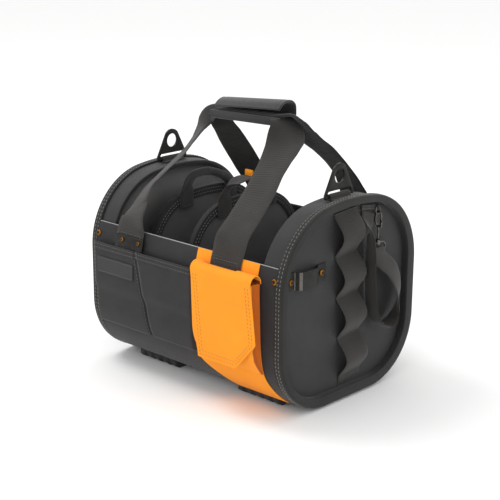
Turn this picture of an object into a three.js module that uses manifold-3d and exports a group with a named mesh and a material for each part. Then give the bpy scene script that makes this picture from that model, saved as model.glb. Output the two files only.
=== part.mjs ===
// Open-top tool bag with two padded ends, carry straps and an orange front pouch.
// Millimetres, +Z up. The long side runs along X, the front wall faces -Y, and the feet stand on z = 0.

import * as THREE from "three";
import Module from "manifold-3d";
import { mergeVertices } from "three/addons/utils/BufferGeometryUtils.js";

const wasm = await Module();
wasm.setup();

// Driving dimensions of the bag
const BAG_LENGTH = 336;
const BAG_WIDTH = 255;
const END_HEIGHT = 257;
const RIM_HEIGHT = 192;
const FOOT_DROP = 3;
const LOWER_CORNER_RADIUS = 83;
const UPPER_CORNER_RADIUS = 97;
const CROWN_RADIUS = 300;
const WALL = 2.5;
const GAP = 0.3;

// Padded ends
const HOOP_DEPTH = 38;
const HOOP_THICKNESS = 6;
const BINDING_WIDTH = 12;
const BINDING_THICKNESS = 2;
const FACE_THICKNESS = 4;
const FACE_RECESS = 10;
const FACE_SOFT_EDGE = 1.5;

// Rim strips along the top of the long walls
const RIM_STRIP_HEIGHT = 9;
const RIM_STRIP_THICKNESS = 1.2;

// Dividers
const DIVIDER_THICKNESS = 4;
const DIVIDER_INSET = 25;
const DIVIDER_SHOULDER_LOW = 42;
const DIVIDER_SHOULDER_HIGH = 10;
const DIVIDER_BINDING_DEPTH = 12;
const DIVIDER_BINDING_WALL = 1.5;
const DIVIDERS = { divider_1: -81, divider_2: -12 };
const PAD_HANDLE_LEG_WIDTH = 22;
const PAD_HANDLE_LEG_THICKNESS = 4;
const PAD_HANDLE_ROLL = 11;
const PAD_HANDLE_HALF_SPAN = 43;
const PAD_HANDLE_RISE = 28;
const HANDLE_LEG_DROP = 22;
const WEB_HANDLE_WIDTH = 25;
const WEB_HANDLE_THICKNESS = 2.4;
const WEB_HANDLE_HALF_SPAN = 42;
const WEB_HANDLE_RISE = 26;
const PULL_TAB_WIDTH = 15;
const PULL_TAB_HEIGHT = 8;
const PULL_TAB_THICKNESS = 3;

// Webbing straps, their run through the grip and the wrap around it
const STRAP_WIDTH = 50;
const STRAP_THICKNESS = 2.2;
const STRAP_LEFT_INSET = 75;
const STRAP_PANEL_OFFSET = 50;
const STRAP_SEWN_LENGTH = 72;
const GRIP_LENGTH = 118;
const GRIP_HEIGHT = 333.5;
const GRIP_SLOPE = 0.03;
const WRAP_THICKNESS = 2.6;
const WRAP_HEIGHT_LEFT = 25;
const WRAP_HEIGHT_RIGHT = 31;
const WRAP_BAND_HEIGHT = 12;
const STRAP_BEND = 15;
const STRAP_BOW = 4;
const STRAP_BACK_BOW = 14;
const STRAP_LEG_SLACK = 1;
const STRAP_FOLDED_WIDTH = 23;
const STRAP_TOP_SPREAD = 12;

// Orange panel, pouch and flap on the front wall
const PANEL_THICKNESS = 1.2;
const PANEL_LEFT_X = 27;
const PANEL_RIVET_CLEARANCE = 15;
const PANEL_FOOT_HEIGHT = 15;
const PANEL_FOOT_SLANT = 36;
const PANEL_FOOT_FLARE = 9;
const POUCH_INSET = 8;
const POUCH_OVERHANG = 6;
const POUCH_DEPTH = 16;
const POUCH_WALL = 1.4;
const POUCH_BOTTOM_HEIGHT = 61;
const POUCH_FLAP_DROP = 11;
const POUCH_FILLED_FROM = 0.4;
const POUCH_LEAN = 4;
const POUCH_FOLD = 4;
const FLAP_INSET = 1;
const FLAP_OVERLAP = 5;
const FLAP_LEAN = 10;
const FLAP_THICKNESS = 1.6;
const FLAP_RIM_DROP = 3;
const FLAP_BOTTOM_HEIGHT = 68;
const FLAP_CHAMFER = 36;
const FLAP_TAIL = 1.5;
const FLAP_STRAP_MARGIN = 2;

// Front pocket with its patch
const POCKET_PANEL_GAP = 0.4;
const POCKET_SEAM_TOP_X = -76;
const POCKET_SEAM_BOTTOM_X = -53;
const POCKET_BOTTOM_HEIGHT = 58;
const POCKET_RIM_DROP = 29;
const POCKET_THICKNESS = 1.4;
const POCKET_BULGE = 6;
const POCKET_HEM_HEIGHT = 9;
const POCKET_HEM_THICKNESS = 2.2;
const POCKET_STRAP_CLEARANCE = 4;
const POCKET_STRAP_RAMP = 18;
const PATCH_SIDE_MARGIN = 6.7;
const PATCH_HEM_DROP = 9.5;
const PATCH_WIDTH = 68;
const PATCH_HEIGHT = 21;
const PATCH_THICKNESS = 0.8;

// Carry rings on the ends
const RING_END_INSET = 20;
const RING_WIDTH = 50;
const RING_HEIGHT = 38;
const RING_PLATE = 3;
const RING_BAR_RADIUS = 2;
const RING_HOLE_RADIUS = 8;
const RING_TOP_RADIUS = 13;
const RING_SLOT_LENGTH = 41;
const RING_SLOT_HEIGHT = 5;
const KEEPER_WIDTH = 38;
const KEEPER_THICKNESS = 1.6;
const KEEPER_FOOT = 7.4;

// Metal clips and rivets
const RIVET_RADIUS = 4;
const RIVET_HEIGHT = 2;
const RIVET_END_INSET = 21;
const RIVET_RIM_DROP = 15;
const BAR_CLIP_WIDTH = 52;
const BAR_CLIP_HEIGHT = 11;
const BAR_CLIP_THICKNESS = 2;
const BAR_CLIP_RIVET_RADIUS = 2.6;
const BAR_CLIP_RIM_DROP = 14;
const TAPE_CLIP_MARGIN = 1.3;
const TAPE_CLIP_CENTRE_HEIGHT = 173;
const TAPE_CLIP_LENGTH = 70;
const TAPE_CLIP_WIDTH = 22;
const TAPE_CLIP_PLATE = 1.4;
const TAPE_CLIP_STANDOFF = 7;
const TAPE_CLIP_FOOT = 15;
const TAPE_CLIP_RAMP = 4;

// Tool loops down the right end
const LOOP_COUNT = 4;
const LOOP_WIDTH = 42;
const LOOP_THICKNESS = 1.6;
const LOOP_BULGE = 12;
const LOOP_TOP_DROP = 18.5;
const LOOP_FOOT_MARGIN = 6.2;
const LOOP_LEFT_TOP_Y = -27;
const LOOP_LEAN = 4.3;
const LOOP_TOP_TAIL = 1.5;
const LOOP_TAIL = 7;

// Tape loop with its swivel snap hook
const ANCHOR_LOOP_OFFSET = 43;
const ANCHOR_LENGTH = 34;
const ANCHOR_MARGIN = 0.9;
const ANCHOR_HEIGHT = 6.5;
const ANCHOR_LEAN = 8;
const ANCHOR_THICKNESS = 2.4;
const LINK_INSET = 4;
const LINK_WIDTH = 9;
const LINK_DROP = 8.2;
const LINK_WIRE = 2;
const TAPE_WIDTH = 25;
const TAPE_THICKNESS = 1.8;
const TAPE_LOOP_STANDOFF = 1.4;
const TAPE_LOOP_OFFSET = 14;
const TAPE_SPAN = 62;
const TAPE_BOTTOM_HEIGHT = 82;
const HOOK_WIRE = 2.4;
const HOOK_EYE_WIDTH = 8;
const HOOK_EYE_HEIGHT = 17;
const HOOK_STEM = 18;
const HOOK_BARREL_RADIUS = 3.4;
const HOOK_BARREL_LENGTH = 7;
const HOOK_BASE_WIDTH = 30;
const HOOK_BASE_HEIGHT = 11;
const HOOK_BASE_WIRE = 2.6;
const HOOK_GATE_WIDTH = 2.4;

// Rubber feet
const FOOT_LENGTH = 68;
const FOOT_CENTRE_X = 91;
const FOOT_WIDTH = 30;
const FOOT_PANEL_DROP = 2;
const FOOT_RIBS = 5;
const FOOT_RIB_DEPTH = 3.5;
const FOOT_TOE = 9;

// Materials
const colours = {
  fabric: { color: 0x2b2b2c, roughness: 0.85, metalness: 0 },
  face: { color: 0x303032, roughness: 0.75, metalness: 0 },
  binding: { color: 0x26262a, roughness: 0.8, metalness: 0 },
  webbing: { color: 0x232323, roughness: 0.9, metalness: 0 },
  orange: { color: 0xf59a1f, roughness: 0.7, metalness: 0 },
  patch: { color: 0x1c1c1e, roughness: 0.6, metalness: 0 },
  black_metal: { color: 0x1b1b1c, roughness: 0.45, metalness: 0.8 },
  steel: { color: 0x8c8c8c, roughness: 0.35, metalness: 1 },
  copper: { color: 0xb0703a, roughness: 0.4, metalness: 1 },
  rubber: { color: 0x1d1e20, roughness: 0.9, metalness: 0 },
};

const bag = new THREE.Group();

function addPiece(name, geometry, colour) {
  const material = new THREE.MeshStandardMaterial({ ...colours[colour] });
  const piece = new THREE.Mesh(geometry, material);
  piece.name = name;
  bag.add(piece);
  return piece;
}

// Solid making
const vec = (x, y, z) => new THREE.Vector3(x, y, z);
const mix = THREE.MathUtils.lerp;
const smooth = THREE.MathUtils.smoothstep;
const radians = THREE.MathUtils.degToRad;

function signedVolume(points, faces) {
  let volume = 0;
  for (const [a, b, c] of faces) {
    volume += points[a].dot(vec(0, 0, 0).crossVectors(points[b], points[c])) / 6;
  }
  return volume;
}

function solidFrom(points, faces) {
  const outward = signedVolume(points, faces) > 0;
  const index = faces.flatMap(([a, b, c]) => (outward ? [a, b, c] : [a, c, b]));
  const geometry = new THREE.BufferGeometry();
  const numbers = points.flatMap((p) => p.toArray());
  geometry.setAttribute("position", new THREE.Float32BufferAttribute(numbers, 3));
  geometry.setIndex(index);
  geometry.computeVertexNormals();
  return geometry;
}

// Triangles over one flat outline, wound the way the outline runs
function capFaces(outline) {
  const normal = vec(0, 0, 0);
  outline.forEach((p, i) => normal.add(vec(0, 0, 0).crossVectors(p, outline[(i + 1) % outline.length])));
  const size = normal.toArray().map(Math.abs);
  const drop = size.indexOf(Math.max(...size));
  const flat = outline.map((p) => new THREE.Vector2(...p.toArray().filter((_, axis) => axis !== drop)));
  const outlineTurn = Math.sign(THREE.ShapeUtils.area(flat));
  return THREE.ShapeUtils.triangulateShape(flat, []).map((face) => {
    const turn = Math.sign(THREE.ShapeUtils.area(face.map((i) => flat[i])));
    return turn === outlineTurn ? face : [face[0], face[2], face[1]];
  });
}

// A solid through a row of sections that all have the same number of points
function loft(sections, closed = false) {
  const count = sections[0].length;
  const points = sections.flat();
  const faces = [];
  const rows = closed ? sections.length : sections.length - 1;
  for (let row = 0; row < rows; row += 1) {
    const here = row * count;
    const there = ((row + 1) % sections.length) * count;
    for (let i = 0; i < count; i += 1) {
      const next = (i + 1) % count;
      faces.push([here + i, here + next, there + next], [here + i, there + next, there + i]);
    }
  }
  if (!closed) {
    const last = (sections.length - 1) * count;
    for (const [a, b, c] of capFaces(sections[0])) {
      faces.push([a, c, b]);
    }
    for (const [a, b, c] of capFaces(sections.at(-1))) {
      faces.push([last + a, last + b, last + c]);
    }
  }
  return solidFrom(points, faces);
}

// A sheet between two grids of points, with its rim closed
function sheet(front, back) {
  const rows = front.length;
  const columns = front[0].length;
  const points = [...front.flat(), ...back.flat()];
  const offset = rows * columns;
  const at = (row, column) => row * columns + column;
  const faces = [];
  for (let row = 0; row < rows - 1; row += 1) {
    for (let column = 0; column < columns - 1; column += 1) {
      const a = at(row, column);
      const b = at(row, column + 1);
      const c = at(row + 1, column + 1);
      const d = at(row + 1, column);
      faces.push([a, b, c], [a, c, d]);
      faces.push([offset + a, offset + c, offset + b], [offset + a, offset + d, offset + c]);
    }
  }
  const upTo = (count, place) => Array.from({ length: count }, (_, i) => place(i));
  const rim = [
    ...upTo(columns - 1, (i) => at(0, i)),
    ...upTo(rows - 1, (i) => at(i, columns - 1)),
    ...upTo(columns - 1, (i) => at(rows - 1, columns - 1 - i)),
    ...upTo(rows - 1, (i) => at(rows - 1 - i, 0)),
  ];
  rim.forEach((a, i) => {
    const b = rim[(i + 1) % rim.length];
    faces.push([a, offset + b, b], [a, offset + a, offset + b]);
  });
  return solidFrom(points, faces);
}

// One closed body from solids that run into each other
function unite(...geometries) {
  const solids = geometries.map((geometry) => {
    const bare = new THREE.BufferGeometry();
    bare.setAttribute("position", geometry.getAttribute("position").clone());
    if (geometry.index) bare.setIndex(geometry.index.clone());
    const merged = mergeVertices(bare, 1e-4);
    const mesh = new wasm.Mesh({
      numProp: 3,
      vertProperties: new Float32Array(merged.getAttribute("position").array),
      triVerts: new Uint32Array(merged.index.array),
    });
    return new wasm.Manifold(mesh);
  });
  const result = solids.reduce((sum, solid) => sum.add(solid)).getMesh();
  const geometry = new THREE.BufferGeometry();
  geometry.setAttribute("position", new THREE.BufferAttribute(new Float32Array(result.vertProperties), 3));
  geometry.setIndex(new THREE.BufferAttribute(new Uint32Array(result.triVerts), 1));
  geometry.computeVertexNormals();
  return geometry;
}

// A round wire along a row of points
function wire(route, diameter, sides, steps, closed = false) {
  const curve = new THREE.CatmullRomCurve3(route, closed, "centripetal");
  const frames = curve.computeFrenetFrames(steps, closed);
  const last = closed ? steps - 1 : steps;
  const sections = [];
  for (let step = 0; step <= last; step += 1) {
    const centre = curve.getPointAt(step / steps);
    const section = [];
    for (let side = 0; side < sides; side += 1) {
      const angle = (side / sides) * Math.PI * 2;
      section.push(
        centre
          .clone()
          .addScaledVector(frames.normals[step], (Math.cos(angle) * diameter) / 2)
          .addScaledVector(frames.binormals[step], (Math.sin(angle) * diameter) / 2),
      );
    }
    sections.push(section);
  }
  return loft(sections, closed);
}

// A flat band along stations that each hold a centre, a width direction, a width and a thickness.
// With a shear of 1 the width keeps its direction where the band runs askew.
function band(stations) {
  const sections = stations.map(({ centre, across, width, thickness, shear }, i) => {
    const before = stations[Math.max(i - 1, 0)].centre;
    const after = stations[Math.min(i + 1, stations.length - 1)].centre;
    const along = after.clone().sub(before).normalize();
    const side = across.clone().addScaledVector(along, -across.dot(along) * (1 - shear)).normalize();
    const normal = vec(0, 0, 0).crossVectors(along, side).normalize();
    const corner = (a, b) =>
      centre.clone().addScaledVector(side, (a * width) / 2).addScaledVector(normal, (b * thickness) / 2);
    return [corner(-1, -1), corner(1, -1), corner(1, 1), corner(-1, 1)];
  });
  return loft(sections);
}

// Smooth stations through the rows of a route, with each row's numbers blended on the way
function stationsAlong(rows, stepsPerRow) {
  const curve = new THREE.CatmullRomCurve3(rows.map((row) => row.centre), false, "centripetal");
  const stations = [];
  const steps = (rows.length - 1) * stepsPerRow;
  for (let step = 0; step <= steps; step += 1) {
    const place = step / stepsPerRow;
    const low = Math.min(Math.floor(place), rows.length - 2);
    const share = place - low;
    const turn = radians(mix(rows[low].turn, rows[low + 1].turn, share));
    stations.push({
      centre: curve.getPoint(step / steps),
      across: vec(Math.cos(turn), Math.sin(turn), 0),
      width: mix(rows[low].width, rows[low + 1].width, share),
      thickness: mix(rows[low].thickness, rows[low + 1].thickness, share),
      shear: mix(rows[low].shear ?? 0, rows[low + 1].shear ?? 0, share),
    });
  }
  return stations;
}

// The end outline: flat bottom, round lower corners, straight sides, round upper corners, low crown
const lowerCentre = { y: BAG_WIDTH / 2 - LOWER_CORNER_RADIUS, z: FOOT_DROP + LOWER_CORNER_RADIUS };
const upperCentreY = BAG_WIDTH / 2 - UPPER_CORNER_RADIUS;
const crownAngle = Math.asin(upperCentreY / (CROWN_RADIUS - UPPER_CORNER_RADIUS));
const crownRise = (CROWN_RADIUS - UPPER_CORNER_RADIUS) * (1 - Math.cos(crownAngle));
const upperCentre = { y: upperCentreY, z: END_HEIGHT - crownRise - UPPER_CORNER_RADIUS };
const rimAngle = Math.asin((RIM_HEIGHT - upperCentre.z) / UPPER_CORNER_RADIUS);

function arcPoints(centre, radius, from, to, steps) {
  const points = [];
  for (let step = 0; step <= steps; step += 1) {
    const angle = mix(from, to, step / steps);
    const ny = Math.cos(angle);
    const nz = Math.sin(angle);
    points.push({ y: centre.y + radius * ny, z: centre.z + radius * nz, ny, nz });
  }
  return points;
}

const quarter = Math.PI / 2;
const crownCentre = { y: 0, z: END_HEIGHT - CROWN_RADIUS };
const halfOutline = [
  ...arcPoints(lowerCentre, LOWER_CORNER_RADIUS, -quarter, 0, 8),
  ...arcPoints(upperCentre, UPPER_CORNER_RADIUS, 0, rimAngle, 3),
  ...arcPoints(upperCentre, UPPER_CORNER_RADIUS, rimAngle, quarter - crownAngle, 7).slice(1),
  ...arcPoints(crownCentre, CROWN_RADIUS, quarter - crownAngle, quarter, 3).slice(1),
];
const mirrored = halfOutline.map((p) => ({ ...p, y: -p.y, ny: -p.ny }));
const fullOutline = [...halfOutline, ...mirrored.slice(0, -1).reverse()];

// A point a given way in from the outline; negative goes outward
const inset = (x, point, depth) => vec(x, point.y - point.ny * depth, point.z - point.nz * depth);

// The front wall's surface point at a height, with its outward normal
function frontAt(z) {
  if (z < lowerCentre.z) {
    const nz = (z - lowerCentre.z) / LOWER_CORNER_RADIUS;
    const ny = -Math.sqrt(1 - nz * nz);
    return { y: -lowerCentre.y + LOWER_CORNER_RADIUS * ny, z, ny, nz };
  }
  if (z < upperCentre.z) return { y: -BAG_WIDTH / 2, z, ny: -1, nz: 0 };
  const nz = (z - upperCentre.z) / UPPER_CORNER_RADIUS;
  const ny = -Math.sqrt(1 - nz * nz);
  return { y: -upperCentre.y + UPPER_CORNER_RADIUS * ny, z, ny, nz };
}

// Facets of the walls follow the outline's own corners, so that sheets laid on them stay clear
const frontCorners = mirrored.filter((p) => p.z <= RIM_HEIGHT + 0.01).reverse();
const backCorners = frontCorners.map((p) => ({ ...p, y: -p.y, ny: -p.ny }));

function frontFacetAt(z) {
  const above = frontCorners.findLastIndex((p) => p.z >= z - 1e-6);
  const top = frontCorners[Math.max(above, 0)];
  const bottom = frontCorners[Math.min(Math.max(above, 0) + 1, frontCorners.length - 1)];
  const share = top.z === bottom.z ? 0 : (top.z - z) / (top.z - bottom.z);
  return { ...frontAt(z), y: mix(top.y, bottom.y, share), z };
}

function frontHeights(low, high) {
  const between = frontCorners.map((p) => p.z).filter((z) => z < high - 1 && z > low + 1);
  return [high, ...between, low];
}

// Places along the bag
const endX = BAG_LENGTH / 2;
const bindingX = endX - BINDING_WIDTH;
const hoopOuter = WALL + GAP;
const hoopInner = hoopOuter + HOOP_THICKNESS;
const faceOuterX = endX - FACE_RECESS;
const faceInnerX = faceOuterX - FACE_THICKNESS;
const faceSeat = faceOuterX + GAP;
const rivetX = endX - RIVET_END_INSET;
const panelRightX = rivetX - RIVET_RADIUS - PANEL_RIVET_CLEARANCE;
const strapLeftX = STRAP_LEFT_INSET - endX;
const strapRightX = PANEL_LEFT_X + STRAP_PANEL_OFFSET;

// The inner edge of the binding's lip, as a distance from the middle and as a height
const lipDepth = hoopInner + GAP + BINDING_THICKNESS;
const lipRadius = UPPER_CORNER_RADIUS - lipDepth;
const lipSideAt = (z) => upperCentre.y + Math.sqrt(lipRadius ** 2 - Math.max(z - upperCentre.z, 0) ** 2);
const lipTopAt = (y) => upperCentre.z + Math.sqrt(lipRadius ** 2 - (y - upperCentre.y) ** 2);

// Body and ends

function addBody() {
  const half = bindingX - GAP;
  const sections = [...frontCorners, ...backCorners.toReversed()].map((p) => [
    inset(-half, p, 0),
    inset(half, p, 0),
    inset(half, p, WALL),
    inset(-half, p, WALL),
  ]);
  addPiece("body_shell", loft(sections), "fabric");
}

function addEnd(side, word) {
  const around = (section) => {
    const place = (p) => section.map(([x, depth]) => inset(side * x, p, depth));
    return loft(fullOutline.map(place), true);
  };
  const lipX = endX - BINDING_THICKNESS;
  const roll = BINDING_THICKNESS * 0.7;
  const binding = [
    [bindingX, 0],
    [endX - roll, 0],
    [endX, roll],
    [endX, lipDepth - roll],
    [endX - roll, lipDepth],
    [faceSeat, lipDepth],
    [faceSeat, hoopInner + GAP],
    [lipX, hoopInner + GAP],
    [lipX, WALL],
    [bindingX, WALL],
  ];
  const hoop = [
    [endX - HOOP_DEPTH, hoopOuter + 1],
    [endX - HOOP_DEPTH + 1, hoopOuter],
    [lipX - GAP, hoopOuter],
    [lipX - GAP, hoopInner],
    [endX - HOOP_DEPTH + 1, hoopInner],
    [endX - HOOP_DEPTH, hoopInner - 1],
  ];
  addPiece(`end_binding_${word}`, around(binding), "binding");
  addPiece(`end_hoop_${word}`, around(hoop), "fabric");

  const edge = hoopInner + GAP;
  const ring = (x, depth) => fullOutline.map((p) => inset(side * x, p, depth));
  const rings = [
    ring(faceInnerX, edge),
    ring(faceOuterX - FACE_SOFT_EDGE, edge),
    ring(faceOuterX, edge + FACE_SOFT_EDGE),
  ];
  addPiece(`end_face_${word}`, loft(rings), "face");
}

function addRimStrips() {
  const half = endX - HOOP_DEPTH - GAP;
  const inner = WALL + GAP;
  for (const [word, outline] of [["front", frontCorners], ["back", backCorners]]) {
    const [top, below] = outline;
    const share = RIM_STRIP_HEIGHT / (top.z - below.z);
    const at = (x, depth, part) => inset(x, top, depth).lerp(inset(x, below, depth), part);
    const sections = [-half, half].map((x) => [
      at(x, inner, share),
      at(x, inner, 0),
      at(x, inner + RIM_STRIP_THICKNESS, 0),
      at(x, inner + RIM_STRIP_THICKNESS, share),
    ]);
    addPiece(`rim_strip_${word}`, loft(sections), "binding");
  }
}

// Dividers with a bound arch and a handle each
function dividerInset(z) {
  const reach = smooth(z, RIM_HEIGHT - DIVIDER_SHOULDER_LOW, RIM_HEIGHT - DIVIDER_SHOULDER_HIGH);
  return mix(WALL + GAP, DIVIDER_INSET, reach);
}

const dividerHalf = DIVIDER_THICKNESS / 2 + GAP + DIVIDER_BINDING_WALL;
const dividerTop = END_HEIGHT - DIVIDER_INSET;

function addDivider(name, x) {
  const edge = DIVIDER_BINDING_WALL + GAP;
  const bound = (p) => p.z > RIM_HEIGHT - DIVIDER_SHOULDER_LOW;
  const panelDepth = (p) => dividerInset(p.z) + (bound(p) ? edge : 0);
  const faceAt = (faceX) => fullOutline.map((p) => inset(faceX, p, panelDepth(p)));
  const plate = [faceAt(x - DIVIDER_THICKNESS / 2), faceAt(x + DIVIDER_THICKNESS / 2)];
  addPiece(`${name}_panel`, loft(plate), "face");

  const t = DIVIDER_THICKNESS / 2 + GAP;
  const section = [
    [-dividerHalf, 0.8],
    [-dividerHalf + 0.8, 0],
    [dividerHalf - 0.8, 0],
    [dividerHalf, 0.8],
    [dividerHalf, DIVIDER_BINDING_DEPTH],
    [t, DIVIDER_BINDING_DEPTH],
    [t, DIVIDER_BINDING_WALL],
    [-t, DIVIDER_BINDING_WALL],
    [-t, DIVIDER_BINDING_DEPTH],
    [-dividerHalf, DIVIDER_BINDING_DEPTH],
  ];
  const path = fullOutline.filter(bound);
  addPiece(
    `${name}_binding`,
    loft(path.map((p) => section.map(([dx, depth]) => inset(x + dx, p, dividerInset(p.z) + depth)))),
    "binding",
  );
}

function addPaddedHandle(x) {
  const sewnX = x + dividerHalf + GAP + PAD_HANDLE_LEG_THICKNESS / 2;
  const rows = [
    { y: -1, z: -HANDLE_LEG_DROP / PAD_HANDLE_RISE, roll: 0 },
    { y: -1, z: -0.1, roll: 0.1 },
    { y: -1, z: 0.45, roll: 0.7 },
    { y: -0.86, z: 0.83, roll: 1 },
    { y: -0.52, z: 1, roll: 1 },
    { y: -0.1, z: 0.93, roll: 1 },
    { y: 0.32, z: 0.66, roll: 1 },
    { y: 0.66, z: 0.3, roll: 0.8 },
    { y: 0.84, z: -0.1, roll: 0.3 },
    { y: 0.88, z: -HANDLE_LEG_DROP / PAD_HANDLE_RISE, roll: 0 },
  ];
  const place = (row) => vec(sewnX, row.y * PAD_HANDLE_HALF_SPAN, dividerTop + row.z * PAD_HANDLE_RISE);
  const centres = rows.map(place);
  const sides = 8;
  const sections = rows.map((row, i) => {
    const before = centres[Math.max(i - 1, 0)];
    const after = centres[Math.min(i + 1, centres.length - 1)];
    const along = after.clone().sub(before).normalize();
    const normal = vec(0, -along.z, along.y);
    const wide = mix(PAD_HANDLE_LEG_WIDTH, PAD_HANDLE_ROLL, row.roll) / 2;
    const deep = mix(PAD_HANDLE_LEG_THICKNESS, PAD_HANDLE_ROLL, row.roll) / 2;
    const shift = deep - PAD_HANDLE_LEG_THICKNESS / 2;
    const section = [];
    for (let side = 0; side < sides; side += 1) {
      const angle = ((side + 0.5) / sides) * Math.PI * 2;
      const square = 1 / Math.max(Math.abs(Math.cos(angle)), Math.abs(Math.sin(angle)));
      const reach = mix(square, 1.08, Math.min(row.roll * 1.5, 1));
      section.push(
        centres[i]
          .clone()
          .addScaledVector(normal, Math.cos(angle) * wide * reach)
          .add(vec(shift + Math.sin(angle) * deep * Math.min(reach, 1), 0, 0)),
      );
    }
    return section;
  });
  addPiece("divider_1_handle", loft(sections), "fabric");
}

function addWebHandle(x) {
  const sewnX = x + dividerHalf + GAP + WEB_HANDLE_THICKNESS / 2;
  const rise = (share) => dividerTop + share * WEB_HANDLE_RISE;
  const leg = [
    { across: 1, up: -HANDLE_LEG_DROP / WEB_HANDLE_RISE, turn: 90, side: 1 },
    { across: 1, up: 0, turn: 90, side: 1 },
    { across: 0.92, up: 0.3, turn: 82, side: 1.1 },
    { across: 0.66, up: 0.66, turn: 40, side: 0.6 },
    { across: 0.3, up: 0.93, turn: 10, side: 0.15 },
  ];
  const row = ({ across, up, turn, side }, sign) => ({
    centre: vec(mix(x, sewnX, side), sign * across * WEB_HANDLE_HALF_SPAN, rise(up)),
    turn: sign < 0 ? -turn : turn,
    width: WEB_HANDLE_WIDTH,
    thickness: WEB_HANDLE_THICKNESS,
  });
  const top = { across: 0, up: 1, turn: 0, side: 0 };
  const rows = [...leg.map((r) => row(r, -1)), row(top, 1), ...leg.map((r) => row(r, 1)).reverse()];
  addPiece("divider_2_handle", band(stationsAlong(rows, 2)), "webbing");

  const base = rise(1) + WEB_HANDLE_THICKNESS / 2 + GAP;
  const tab = [
    { half: PULL_TAB_THICKNESS / 2, z: base },
    { half: PULL_TAB_THICKNESS / 2, z: base + PULL_TAB_HEIGHT * 0.7 },
    { half: PULL_TAB_THICKNESS / 4, z: base + PULL_TAB_HEIGHT },
  ];
  const w = PULL_TAB_WIDTH / 2;
  const sections = tab.map(({ half, z }) => [
    vec(x - w, -half, z),
    vec(x + w, -half, z),
    vec(x + w, half, z),
    vec(x - w, half, z),
  ]);
  addPiece("pull_tab", loft(sections), "orange");
}

// Carry straps: sewn legs, a quarter turn on each free leg, and a folded run through the grip
const strapFront = PANEL_THICKNESS + 2 * GAP + STRAP_THICKNESS / 2;
const gripAt = (x) => GRIP_HEIGHT + x * GRIP_SLOPE;
const gripHalf = GRIP_LENGTH / 2;
const layerGap = 2 * GAP;
const foldShrink = 1 - STRAP_FOLDED_WIDTH / STRAP_WIDTH;

function strapLeg(face, side, outer) {
  const rimX = side < 0 ? strapLeftX : strapRightX;
  const rimTurn = side * face > 0 ? 180 : 0;
  const width = STRAP_WIDTH;
  const thickness = STRAP_THICKNESS;
  const clear = outer * (STRAP_THICKNESS + layerGap + STRAP_LEG_SLACK);
  const topX = side * (gripHalf + STRAP_BEND);
  const topZ = gripAt(side * gripHalf) - STRAP_BEND;
  const topY = face * STRAP_TOP_SPREAD;
  const rows = frontHeights(RIM_HEIGHT - STRAP_SEWN_LENGTH, RIM_HEIGHT).toReversed().map((z) => ({
    centre: vec(rimX, face * -(frontFacetAt(z).y - strapFront), z),
    turn: rimTurn,
    width,
    thickness,
  }));
  const rim = rows.at(-1).centre;
  const climb = [
    { rise: 0.03, lean: 0.02, turn: 0, bow: 0 },
    { rise: 0.2, lean: 0.2, turn: 0.08, bow: 0.5 },
    { rise: 0.42, lean: 0.43, turn: 0.4, bow: 0.9 },
    { rise: 0.62, lean: 0.62, turn: 0.8, bow: 0.9 },
    { rise: 0.8, lean: 0.8, turn: 0.98, bow: 0.5 },
    { rise: 1, lean: 1, turn: 1, bow: 0 },
  ];
  const bow = face > 0 && side > 0 ? STRAP_BACK_BOW : STRAP_BOW;
  for (const row of climb) {
    rows.push({
      centre: vec(
        mix(rim.x, topX, row.rise) + side * (bow * row.bow + clear * smooth(row.rise, 0.2, 0.7)),
        mix(rim.y, topY, row.lean),
        mix(rim.z, topZ, row.rise),
      ),
      turn: mix(rimTurn, 90, row.turn),
      width,
      thickness,
      shear: smooth(row.rise, 0.75, 1),
    });
  }
  const bend = [
    { angle: 25, shift: 0.75, fold: 0 },
    { angle: 50, shift: 0.45, fold: 0.2 },
    { angle: 75, shift: 0.15, fold: 0.65 },
    { angle: 90, shift: 0, fold: 1 },
  ];
  for (const row of bend) {
    const angle = radians(row.angle);
    const slack = STRAP_LEG_SLACK * (1 - row.angle / 90);
    const radius = STRAP_BEND + outer * (STRAP_THICKNESS * (1 + row.fold) + layerGap + slack);
    rows.push({
      centre: vec(
        side * (gripHalf + radius * Math.cos(angle)),
        topY * row.shift,
        gripAt(side * gripHalf) - STRAP_BEND + radius * Math.sin(angle),
      ),
      turn: 90,
      width: STRAP_WIDTH * (1 - row.fold * foldShrink),
      thickness: STRAP_THICKNESS * (1 + row.fold),
      shear: 1,
    });
  }
  const gripX = side * gripHalf * 0.8;
  const gripZ = gripAt(gripX) + outer * (2 * STRAP_THICKNESS + layerGap);
  rows.push({ ...rows.at(-1), centre: vec(gripX, 0, gripZ) });
  return rows;
}

function addStraps() {
  for (const [name, face, outer] of [["strap_front", -1, 0], ["strap_back", 1, 1]]) {
    const rows = [...strapLeg(face, -1, outer), ...strapLeg(face, 1, outer).reverse()];
    addPiece(name, band(stationsAlong(rows, 2)), "webbing");
  }
}

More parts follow.
